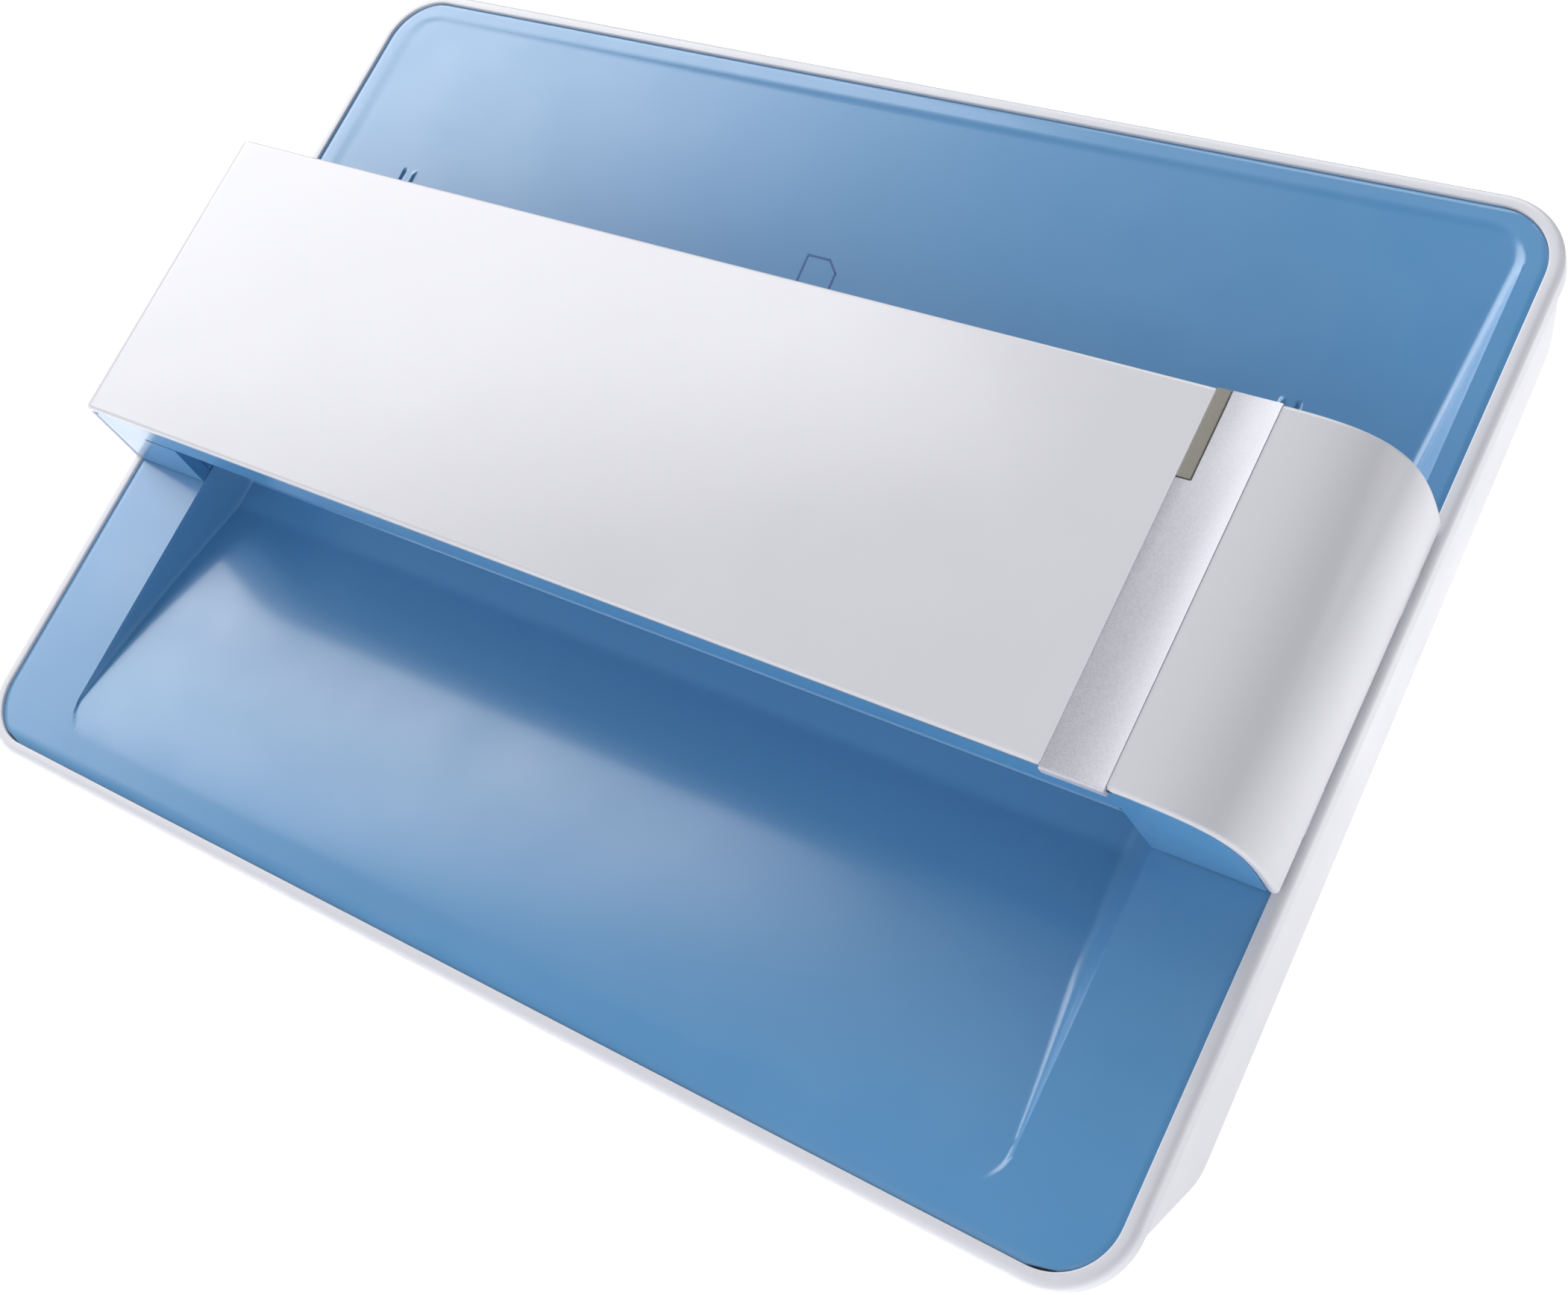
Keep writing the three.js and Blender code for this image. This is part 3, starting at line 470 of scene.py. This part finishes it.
def circuit_board(name):
    """Green solder mask with lighter tracks and a scatter of pads."""
    s = Shader(name, srgb(24, 92, 50), 0.32)
    tracks = s.node("ShaderNodeTexBrick")
    tracks.offset = 0.37
    tracks.inputs["Scale"].default_value = 260
    tracks.inputs["Mortar Size"].default_value = 0.035
    tracks.inputs["Color1"].default_value = (*srgb(20, 84, 46), 1)
    tracks.inputs["Color2"].default_value = (*srgb(30, 104, 58), 1)
    tracks.inputs["Mortar"].default_value = (*srgb(78, 140, 84), 1)
    s.link(s.place, tracks.inputs["Vector"])
    pads = s.node("ShaderNodeTexVoronoi")
    pads.inputs["Scale"].default_value = 210
    s.link(s.place, pads.inputs["Vector"])
    dot = s.node("ShaderNodeMath", operation="LESS_THAN")
    dot.inputs[1].default_value = 0.16
    s.link(pads.outputs["Distance"], dot.inputs[0])
    mix = s.node("ShaderNodeMix", data_type="RGBA")
    s.link(dot.outputs[0], mix.inputs["Factor"])
    s.link(tracks.outputs["Color"], mix.inputs[6])
    mix.inputs[7].default_value = (*srgb(196, 190, 160), 1)
    s.link(mix.outputs[2], s.bsdf.inputs["Base Color"])
    s.bump(tracks.outputs["Fac"], 0.00003, 0.5)
    return s.material


def clear(name, color, roughness, transmission, ior=1.5):
    s = Shader(name, color, roughness)
    s.set("Transmission Weight", transmission)
    s.set("IOR", ior)
    s.vary_roughness(s.noise(240, 4), roughness * 0.6, roughness * 1.5 + 0.01)
    s.bump(s.noise(40, 1), 0.00003, 0.2)
    return s.material


SHELL_WHITE = moulded("shell_white", srgb(219, 219, 224), 0.38, 0.15)
COVER_WHITE = moulded("cover_white", srgb(211, 211, 216), 0.2, 0.08, 0.000001)
BACKING_WHITE = moulded("backing_white", srgb(232, 232, 230), 0.6, 0.0)
DECK_BLUE = moulded("deck_blue", srgb(84, 144, 192), 0.38, 0.75, 0.000004, coat_roughness=0.16)
STRIP_SILVER = sparkle_paint("strip_silver", srgb(196, 196, 204))
LENS_GREY = clear("lens_grey", srgb(164, 161, 150), 0.2, 0.3)
GUIDE_CLEAR = clear("guide_clear", srgb(232, 240, 242), 0.05, 0.9)
SCAN_GLASS = clear("scan_glass", srgb(222, 240, 240), 0.01, 1.0, 1.45)
BOARD_GREEN = circuit_board("board_green")
OPTICS_BLACK = moulded("optics_black", srgb(26, 26, 28), 0.5, 0.0, 0.00002, 1600)
ZINC_STEEL = turned_metal("zinc_steel", srgb(168, 170, 172), 0.38, (0.04, 1, 1))
SHAFT_STEEL = turned_metal("shaft_steel", srgb(190, 192, 196), 0.2, (1, 0.05, 0.05))
ROLLER_RUBBER = rubber("roller_rubber", srgb(92, 95, 102), 1500)
BELT_RUBBER = rubber("belt_rubber", srgb(30, 30, 33), 900)
ACETAL_IVORY = moulded("acetal_ivory", srgb(232, 228, 214), 0.4, 0.1)
ICON_PRINT = moulded("icon_print", srgb(52, 98, 158), 0.3, 0.2)

BY_SLOT = {
    "shell_white": SHELL_WHITE,
    "cover_white": COVER_WHITE,
    "backing_white": BACKING_WHITE,
    "deck_blue": DECK_BLUE,
    "strip_silver": STRIP_SILVER,
    "lens_grey": LENS_GREY,
    "guide_clear": GUIDE_CLEAR,
    "scan_glass": SCAN_GLASS,
    "board_green": BOARD_GREEN,
    "optics_black": OPTICS_BLACK,
    "zinc_steel": ZINC_STEEL,
    "shaft_steel": SHAFT_STEEL,
    "roller_rubber": ROLLER_RUBBER,
    "belt_rubber": BELT_RUBBER,
    "acetal_ivory": ACETAL_IVORY,
}


def paint_cad_nodes():
    """Every CAD node gets the material of its slot, and slightly rounded edges."""
    fine = {"rubber": 0.15, "glass": 0.2}
    classes = {m["slot"]: m["class"] for m in frame["record"]["materials"]}
    for part in frame["record"]["subparts"]:
        node = frame["nodes"][part["node"]]
        node.data.materials.clear()
        node.data.materials.append(BY_SLOT[part["material_slot"]])
        for face in node.data.polygons:
            face.material_index = 0
        refine(part["node"], fine.get(classes[part["material_slot"]], 0.25))


# ---- Base -------------------------------------------------------------------------------------------


def rim_geometry():
    """The white band round the tray: a closed section carried round the rounded rectangle."""
    section = [(0, -RIM_DEPTH)]
    section += [(RIM_FILLET + x, RIM_TOP - RIM_FILLET + z) for x, z in arc(0, 0, RIM_FILLET, 180, 90, 7)]
    corner = (RIM - CREASE, RIM_TOP - CREASE)
    section += arc(*corner, CREASE, 90, 0, 4)
    section += [(RIM, -RIM_DEPTH)]
    rings = []
    for inset, z in section:
        ring = rounded_rectangle(
            PANEL_WIDTH / 2 - inset, PANEL_LENGTH / 2 - inset, PANEL_CORNER - inset, steps=28
        )
        rings.append([(x, y, z) for x, y in ring])
    return loft(rings, closed=True)


def tub_geometry():
    """The shallow tub under the rim, open at the top, its ends slightly drafted."""
    outline = rounded(TUB_PROFILE, [0, TUB_ROUND, TUB_ROUND, 0], 10)

    def place(a, b, t):
        return (t * (1 + TUB_DRAFT * b), a, b)

    verts, faces = pillow(outline, -TUB_HALF, TUB_HALF, 1.4, place)
    n = len(outline)
    walls = [f for f in faces if len(f) != 4 or {f[0] % n, f[1] % n} != {0, n - 1}]
    return verts, walls


def ear_geometry(y0, y1):
    r = BEAD - GAP
    outline = [(HINGE_X + r, -3)] + arc(HINGE_X, HINGE_Z, r, 0, 180, 20) + [(HINGE_X - r, -3)]
    return pillow(outline, y0, y1, 0.4, along_y, 3)


def smooth_max(a, b, k):
    h = np.clip(0.5 + 0.5 * (a - b) / k, 0, 1)
    return b + (a - b) * h + k * h * (1 - h)


def smooth_min(a, b, k):
    return -smooth_max(-a, -b, k)


def inside_rounded(x, y, half, low, high, corner):
    """Distance inside a rounded rectangle's outline, negative outside."""
    cx, cy = 0.0, (low + high) / 2
    qx = np.abs(x - cx) - (half - corner)
    qy = np.abs(y - cy) - ((high - low) / 2 - corner)
    outside = np.hypot(np.maximum(qx, 0), np.maximum(qy, 0))
    return corner - outside - np.minimum(np.maximum(qx, qy), 0)


def channel_depth(x, y):
    floor = np.interp(y, [a for a, _ in FLOOR], [d for _, d in FLOOR])
    ramp = np.clip((y - CHANNEL_FRONT) / (FRONT - CHANNEL_FRONT), 0, 1)
    floor = np.where(y < FRONT, FLOOR[1][1] * ramp**CHANNEL_CURVE, floor)
    d = inside_rounded(x, y, CHANNEL_HALF, CHANNEL_FRONT, 200, CHANNEL_CORNER)
    slope = np.where(x > 0, *CHANNEL_SLOPES[::-1])
    fillet = np.where(x > 0, *CHANNEL_FILLETS[::-1])
    wall = np.maximum(d, 0) * slope
    fillet = np.minimum(fillet, floor * 0.6 + 0.02)
    return np.maximum(smooth_min(floor, wall, fillet), 0) * (floor > 0)


def recess_depth(x, y):
    floor = RECESS_DEPTH * (RECESS_TOP - y) / (RECESS_TOP - RECESS_START)
    fade = smooth_min((x + RECESS_HALF) / RECESS_BLEND, 1.0, 0.4)
    floor = np.maximum(floor, 0) * np.maximum(fade, 0)
    d = inside_rounded(x, y, RECESS_HALF, -200, RECESS_TOP, RECESS_CORNER)
    wall = np.maximum(d, 0) * RECESS_SLOPE
    depth = np.maximum(smooth_min(floor + 0.18, wall, RECESS_FILLET), 0)
    return depth * (y > RECESS_START)


def guide_marks(x, y):
    """Ribs and grooves behind the bridge that show where the paper's edges go."""
    out = np.zeros_like(x)
    for centre, height in GUIDE_MARKS:
        along = np.clip((GUIDE_MARK_END - y) / 1.2, 0, 1) * (y > RECESS_START)
        out += height * np.exp(-(((x - centre) / GUIDE_MARK_WIDTH) ** 4)) * along
    return out


def spread(stops, steps):
    """Values through stops, with the given number of steps between each pair."""
    values = [stops[0]]
    for a, b, n in zip(stops, stops[1:], steps):
        values += list(np.linspace(a, b, n + 1)[1:])
    return np.array(values)


def deck_geometry():
    """One moulded sheet: a grid of heights, squeezed into the deck's rounded corners, then thickened."""
    half_x = PANEL_WIDTH / 2 - RIM - DECK_GAP
    half_y = PANEL_LENGTH / 2 - RIM - DECK_GAP
    corner = PANEL_CORNER - RIM
    xs = spread(
        [-half_x, -138, -122, -119, -116.8, -111, -104, 0, 98, 104, 110.5, 121.5, 128, 139, half_x],
        [4, 12, 18, 12, 30, 8, 52, 49, 8, 30, 26, 4, 22, 4],
    )
    ys = spread(
        [-half_y, -96, -86, -31, -24.5, -21, 27, 30, 38.5, 38.7, 54, 58, 88, 99, half_y],
        [4, 14, 40, 6, 8, 12, 3, 5, 1, 10, 12, 20, 18, 4],
    )
    verts = []
    for y in ys:
        past = max(abs(y) - (half_y - corner), 0)
        half = half_x - corner + math.sqrt(max(corner**2 - past**2, 0))
        row = xs * (half / half_x)
        level = np.full_like(row, y)
        z = -np.maximum(channel_depth(row, level), recess_depth(row, level)) + guide_marks(row, level)
        edge = np.minimum(inside_rounded(row, level, half_x, -half_y, half_y, corner), CREASE)
        z -= CREASE - np.sqrt(np.maximum(CREASE**2 - (CREASE - edge) ** 2, 0))
        verts += [(float(a), float(y), float(b)) for a, b in zip(row, z)]
    columns = len(xs)

    def open_here(x, y):
        slot = any(abs(x - c) < ROLLER_HALF for c in ROLLER_X) and any(a < y < b for a, b in ROLLER_SLOTS)
        window = abs(x) < WINDOW_HALF and WINDOW_Y[0] < y < WINDOW_Y[1]
        flag = abs(x - FLAG_X) < FLAG_HALF and FLAG_Y[0] < y < FLAG_Y[1]
        ear = x > HINGE_X - BEAD and any(a - GAP < y < b + GAP for a, b in EARS)
        return slot or window or flag or ear

    faces = []
    for j in range(len(ys) - 1):
        for i in range(columns - 1):
            a = j * columns + i
            quad = (a, a + 1, a + columns + 1, a + columns)
            x = sum(verts[k][0] for k in quad) / 4
            y = sum(verts[k][1] for k in quad) / 4
            if not open_here(x, y):
                faces.append(quad)
    return verts, faces


def page_icon():
    """A generic mark behind the bridge: the outline of a page with a turned corner."""
    (x0, x1), (y0, y1) = ICON_X, ICON_Y
    path = [(x0, y0), (x0, y1), (x1 - ICON_FOLD, y1), (x1, y1 - ICON_FOLD), (x1, y0)]
    parts = []
    for (ax, ay), (bx, by) in zip(path, path[1:]):
        along = Vector((bx - ax, by - ay)).normalized() * ICON_LINE / 2
        side = Vector((-along.y, along.x))
        a, b = Vector((ax, ay)) - along, Vector((bx, by)) + along
        corners = [a + side, a - side, b - side, b + side]
        surface = [float(recess_depth(np.array([c.x]), np.array([c.y]))[0]) for c in corners]
        top = [(c.x, c.y, 0.05 - d) for c, d in zip(corners, surface)]
        low = [(c.x, c.y, -0.3 - d) for c, d in zip(corners, surface)]
        parts.append(loft([low, top]))
    return joined(*parts)


def skirt_geometry(side):
    """The plate that closes the underside between the rim and the tub, at the front (-1) or the rear (1)."""
    half_x, half_y, corner = PANEL_WIDTH / 2 - 0.3, PANEL_LENGTH / 2 - 0.3, PANEL_CORNER - 0.3
    x, y = half_x - corner, half_y - corner
    outline = arc(x, y, corner, 0, 90, 16) + arc(-x, y, corner, 90, 180, 16)
    outline = [(a, b * side) for a, b in outline]
    return pillow(outline[::side], -RIM_DEPTH + 0.05, -RIM_DEPTH + 1.0, 0.1, along_z, 1)


def to_upright(y, z):
    """A point of the panel's side view in the upright frame's side view."""
    return (PANEL_Y + (y - z) * math.cos(LEAN), PANEL_Z + (y + z) * math.sin(LEAN))


def housing_outline():
    """The wedge's side view in the upright frame, anticlockwise from its front edge on the table. Its top
    runs into the tub, which hides the rounding there.
    """
    rear = cad_high.y
    (y1, z1), (y2, z2) = TUB_PROFILE[1], TUB_PROFILE[2]
    join = 72.0
    under = z1 + (z2 - z1) * (join - y1) / (y2 - y1)
    return [
        (HOUSING_FRONT, HOUSING_BASE),
        (rear, HOUSING_BASE),
        (rear, HOUSING_TOP),
        to_upright(join, under + 3.4),
        to_upright(y1 + 3.0, z1 + 3.8),
        (HOUSING_FRONT, HOUSING_BASE + 15.5),
    ]


def make_housing():
    """The wedge behind the tray, hollow and open below, with its vents and socket openings."""
    outline = housing_outline()
    hollow = offset(outline, -HOUSING_WALL)
    hollow[0] = (hollow[0][0], -7.0)
    hollow[1] = (hollow[1][0], -7.0)
    hollow[3:5] = [(y - 6.0, z + 6.0) for y, z in hollow[3:5]]
    outer = pillow(rounded(outline, [2, 3.5, 7, 3, 1, 1], 8), -HOUSING_HALF, HOUSING_HALF, 3.5, along_x, 7)
    housing = piece(
        "housing", outer, "base", "shell_white", SHELL_WHITE, UPRIGHT, replaces=["rear_housing"]
    )
    inside = HOUSING_HALF - HOUSING_WALL
    cutters = [pillow(hollow, -inside, inside, 0.0, along_x, 1)]
    holes = [(x, PLUG_Z, w, h, r) for x, w, h, r in SOCKETS]
    vent = (VENT_Z, VENT_HALF_WIDTH, VENT_HALF_HEIGHT, VENT_HALF_WIDTH - 0.01)
    holes += [(VENT_X + VENT_PITCH * i, *vent) for i in range(VENTS)]
    for x, z, w, h, r in holes:
        hole = [(a + x, b + z) for a, b in rounded_rectangle(w, h, r, steps=8)]
        cutters.append(pillow(hole[::-1], cad_high.y - 6, cad_high.y + 2, 0.0, along_y, 1))
    carve(housing, *[cutter(geometry, UPRIGHT) for geometry in cutters])
    mark_sharp(housing.data, 32)
    edges = housing.modifiers.new("edges", "BEVEL")
    edges.width = 0.35 * MM
    edges.segments = 2
    edges.limit_method = "ANGLE"
    edges.angle_limit = math.radians(50)


def make_base():
    piece("base_rim", rim_geometry(), "base", "shell_white", SHELL_WHITE, replaces=["base_shell"])
    tub = piece("base_tub", tub_geometry(), "base", "shell_white", SHELL_WHITE, replaces=["base_shell"])
    thicken(tub, TUB_SKIN)
    for name, side in (("skirt_front", -1), ("skirt_rear", 1)):
        piece(name, skirt_geometry(side), "base", "shell_white", SHELL_WHITE, replaces=["base_shell"])
    for i, (y0, y1) in enumerate(EARS):
        ear = ear_geometry(y0, y1)
        piece(f"hinge_ear_{i + 1}", ear, "base", "shell_white", SHELL_WHITE, replaces=["base_shell"])
    deck = piece("deck_sheet", deck_geometry(), "base", "deck_blue", DECK_BLUE, replaces=["deck_tray"])
    thicken(deck, DECK_SKIN)
    piece("page_icon", page_icon(), "base", "deck_blue", ICON_PRINT)


# ---- Bridge -----------------------------------------------------------------------------------------


def arch(grooved=True):
    """The bridge's outer line in XZ from its left foot, over the top, to its right foot."""
    tilt = (LEFT_FOOT - LEFT_TOP) / (HEIGHT - SEAT)

    def wall(z):
        return -LEFT_FOOT + (z - SEAT) * tilt

    lean = math.degrees(math.atan2(1, tilt))
    centre_z = HEIGHT - LEFT_ROUND
    centre_x = wall(centre_z) + LEFT_ROUND / math.sin(math.radians(lean))
    line = [(wall(SEAT), SEAT)]
    line += arc(centre_x, centre_z, LEFT_ROUND, 90 + lean, 90, 10)
    if grooved:
        x0, x1 = STRIP_X[0] - 0.03, STRIP_X[1] + 0.03
        line += [(x0, HEIGHT), (x0, HEIGHT - STRIP_BED), (x1, HEIGHT - STRIP_BED), (x1, curve_z(x1))]
        first = x1
    else:
        first = BEND_AT
    xs = [first + (RIGHT - first) * math.sin(math.radians(90) * k / 40) for k in range(1, 41)]
    line += [(x, curve_z(x)) for x in xs if curve_z(x) > RIGHT_FOOT + 0.3]
    foot_x = BEND_AT + (RIGHT - BEND_AT) * (1 - (RIGHT_FOOT / HEIGHT) ** SQUARENESS) ** (1 / SQUARENESS)
    line += [(foot_x, RIGHT_FOOT)]
    return line


def curve_z(x):
    """Height of the superellipse that closes the bridge's right end."""
    t = min(max((x - BEND_AT) / (RIGHT - BEND_AT), 0), 1)
    return HEIGHT * (1 - t**SQUARENESS) ** (1 / SQUARENESS)


def cover_geometry():
    """The white shell: the arch and its inner line as one closed section, with rounded front and rear
    lips.
    """
    outer = arch()
    steps = 5
    stations = []
    for k in range(steps + 1):
        a = math.radians(90 * k / steps)
        stations.append((FRONT + BRIDGE_LIP * (1 - math.cos(a)), BRIDGE_LIP * (1 - math.sin(a))))
    stations += [(FRONT + REAR - y, inset) for y, inset in stations[::-1]]
    rings = []
    for y, inset in stations:
        top = offset(outer, inset, closed=False)
        under = offset(arch(grooved=False), SKIN - inset, closed=False)
        rings.append([(x, y, z) for x, z in top + under[::-1]])
    return loft(rings)


def bead_geometry(y0, y1):
    return pillow(arc(HINGE_X, HINGE_Z, BEAD, 0, 350, 35), y0, y1, 0.3, along_y, 2)


def strip_geometry():
    """The silver strip, which turns down over the bridge's front edge."""
    x0, x1 = STRIP_X
    top, bed = HEIGHT + 0.05, HEIGHT - STRIP_BED + 0.1
    front = FRONT - STRIP_PROUD
    section = [(REAR, bed), (REAR, top)]
    section += [(front + 0.6 + a, top - 0.6 + b) for a, b in arc(0, 0, 0.6, 90, 180, 6)]
    section += [(front, HEIGHT - STRIP_DROP), (front + 0.5, HEIGHT - STRIP_DROP), (front + 0.5, bed)]
    return pillow(section[::-1], x0, x1, 0.06, along_x, 2)


def make_bridge():
    """The shell, its hinge beads, and the silver strip with room for the status window in its rear corner."""
    white = ("cover", "cover_white", COVER_WHITE)
    piece("bridge_shell", cover_geometry(), *white, replaces=["cover_shell"])
    for i, (y0, y1) in enumerate(BEADS):
        piece(f"hinge_bead_{i + 1}", bead_geometry(y0, y1), *white, replaces=["cover_shell"])
    silver = ("cover", "strip_silver", STRIP_SILVER)
    strip = piece("silver_strip", strip_geometry(), *silver, replaces=["accent_strip"])
    left, right = STRIP_X[0] - 1, LED_X + GAP
    front, rear = LED_Y - GAP, REAR + 1
    room = rounded([(left, front), (right, front), (right, rear), (left, rear)], [0, 0.3, 0, 0], 3)
    carve(strip, cutter(pillow(room, 20, 40, 0.0, along_z, 1)))
    mark_sharp(strip.data, 32)


# ---- Camera, light and floor ------------------------------------------------------------------------

CAMERA_MM = (235.0, -306.5, 249.2)
AZIMUTH, ELEVATION, ROLL = 34.68, 27.2, 2.66
LENS = 47.1
# The lights and the floor are in metres.
FLOOR_HALF, FLOOR_GLOW = 40.0, 0.58
SOFTBOX_LEFT = ((52.5, 112), 4.0, 1.7, 7.2, 4.5, 0.26)
SMALL_LIGHTS = [
    ("front", (-0.1, -1.7, 0.6), 1.4, 0.7, 0.9),
    ("overhead", (-0.3, 0.5, 1.6), 1.0, 1.0, 3.0),
    ("fill_right", (1.4, 0.6, 0.8), 0.9, 0.9, 1.1),
]


def make_camera():
    data = bpy.data.cameras.new("camera")
    data.lens = LENS
    data.sensor_width = 36
    data.clip_start = 0.01
    made = bpy.data.objects.new("camera", data)
    bpy.context.scene.collection.objects.link(made)
    a, e = math.radians(AZIMUTH), math.radians(ELEVATION)
    forward = Vector((-math.sin(a) * math.cos(e), math.cos(a) * math.cos(e), -math.sin(e)))
    turn = forward.to_track_quat("-Z", "Y").to_matrix().to_4x4()
    roll = Matrix.Rotation(math.radians(ROLL), 4, "Z")
    made.matrix_world = Matrix.Translation(Vector(CAMERA_MM) * MM) @ turn @ roll
    bpy.context.scene.camera = made


def area_light(name, place, aim, width, height, radiance, fade=1.0):
    """A softbox of a given brightness, whatever its size. Its right-hand edge may be dimmer, fade times
    as bright.
    """
    data = bpy.data.lights.new(name, "AREA")
    data.shape = "RECTANGLE"
    data.size, data.size_y = width, height
    data.energy = math.pi * width * height * radiance
    if fade < 1:
        data.use_nodes = True
        tree = data.node_tree
        across = tree.nodes.new("ShaderNodeNewGeometry")
        parts = tree.nodes.new("ShaderNodeSeparateXYZ")
        grade = tree.nodes.new("ShaderNodeMapRange")
        for socket, value in (("From Min", 0.78), ("From Max", 1), ("To Min", 1), ("To Max", fade)):
            grade.inputs[socket].default_value = value
        tree.links.new(across.outputs["Parametric"], parts.inputs[0])
        tree.links.new(parts.outputs["X"], grade.inputs["Value"])
        tree.links.new(grade.outputs["Result"], tree.nodes["Emission"].inputs["Strength"])
    made = bpy.data.objects.new(name, data)
    bpy.context.scene.collection.objects.link(made)
    made.location = place
    made.rotation_euler = (Vector(aim) - Vector(place)).to_track_quat("-Z", "Y").to_euler()


def standing_light(name, azimuths, distance, low, high, radiance, fade):
    """An upright softbox between two azimuths, in degrees from the front towards the left."""
    middle, half = math.radians(sum(azimuths) / 2), math.radians(azimuths[1] - azimuths[0]) / 2
    place = Vector((-math.sin(middle) * distance, -math.cos(middle) * distance, (low + high) / 2))
    area_light(name, place, (0, 0, place.z), 2 * distance * math.tan(half), high - low, radiance, fade)


def make_floor():
    floor_mesh = bpy.data.meshes.new("floor")
    h = FLOOR_HALF
    floor_mesh.from_pydata([(-h, -h, 0), (h, -h, 0), (h, h, 0), (-h, h, 0)], [], [(0, 1, 2, 3)])
    floor = bpy.data.objects.new("floor", floor_mesh)
    bpy.context.scene.collection.objects.link(floor)
    s = Shader("floor_paper", srgb(248, 248, 250), 0.9)
    s.vary_color(s.noise(3, 2), 0.004)
    s.set("Emission Color", (1, 1, 1, 1))
    s.set("Emission Strength", FLOOR_GLOW)
    floor_mesh.materials.append(s.material)


def make_lights():
    """Dim surroundings, brighter at the horizon, and four softboxes."""
    world = bpy.data.worlds.new("studio")
    world.use_nodes = True
    sky = world.node_tree.nodes["Background"]
    sky.inputs["Color"].default_value = (0.94, 0.95, 1.0, 1)
    where = world.node_tree.nodes.new("ShaderNodeTexCoord")
    height = world.node_tree.nodes.new("ShaderNodeSeparateXYZ")
    fade = world.node_tree.nodes.new("ShaderNodeMapRange")
    for socket, value in (("From Min", 0.12), ("From Max", 0.3), ("To Min", 0.95), ("To Max", 0.2)):
        fade.inputs[socket].default_value = value
    world.node_tree.links.new(where.outputs["Generated"], height.inputs[0])
    world.node_tree.links.new(height.outputs["Z"], fade.inputs["Value"])
    world.node_tree.links.new(fade.outputs["Result"], sky.inputs["Strength"])
    bpy.context.scene.world = world
    standing_light("softbox_left", *SOFTBOX_LEFT)
    for name, place, width, height, radiance in SMALL_LIGHTS:
        area_light(name, place, (0, 0, 0.1), width, height, radiance)
    bpy.context.scene.view_settings.view_transform = "Standard"


make_camera()
make_floor()
make_lights()
paint_cad_nodes()
make_base()
make_housing()
make_bridge()
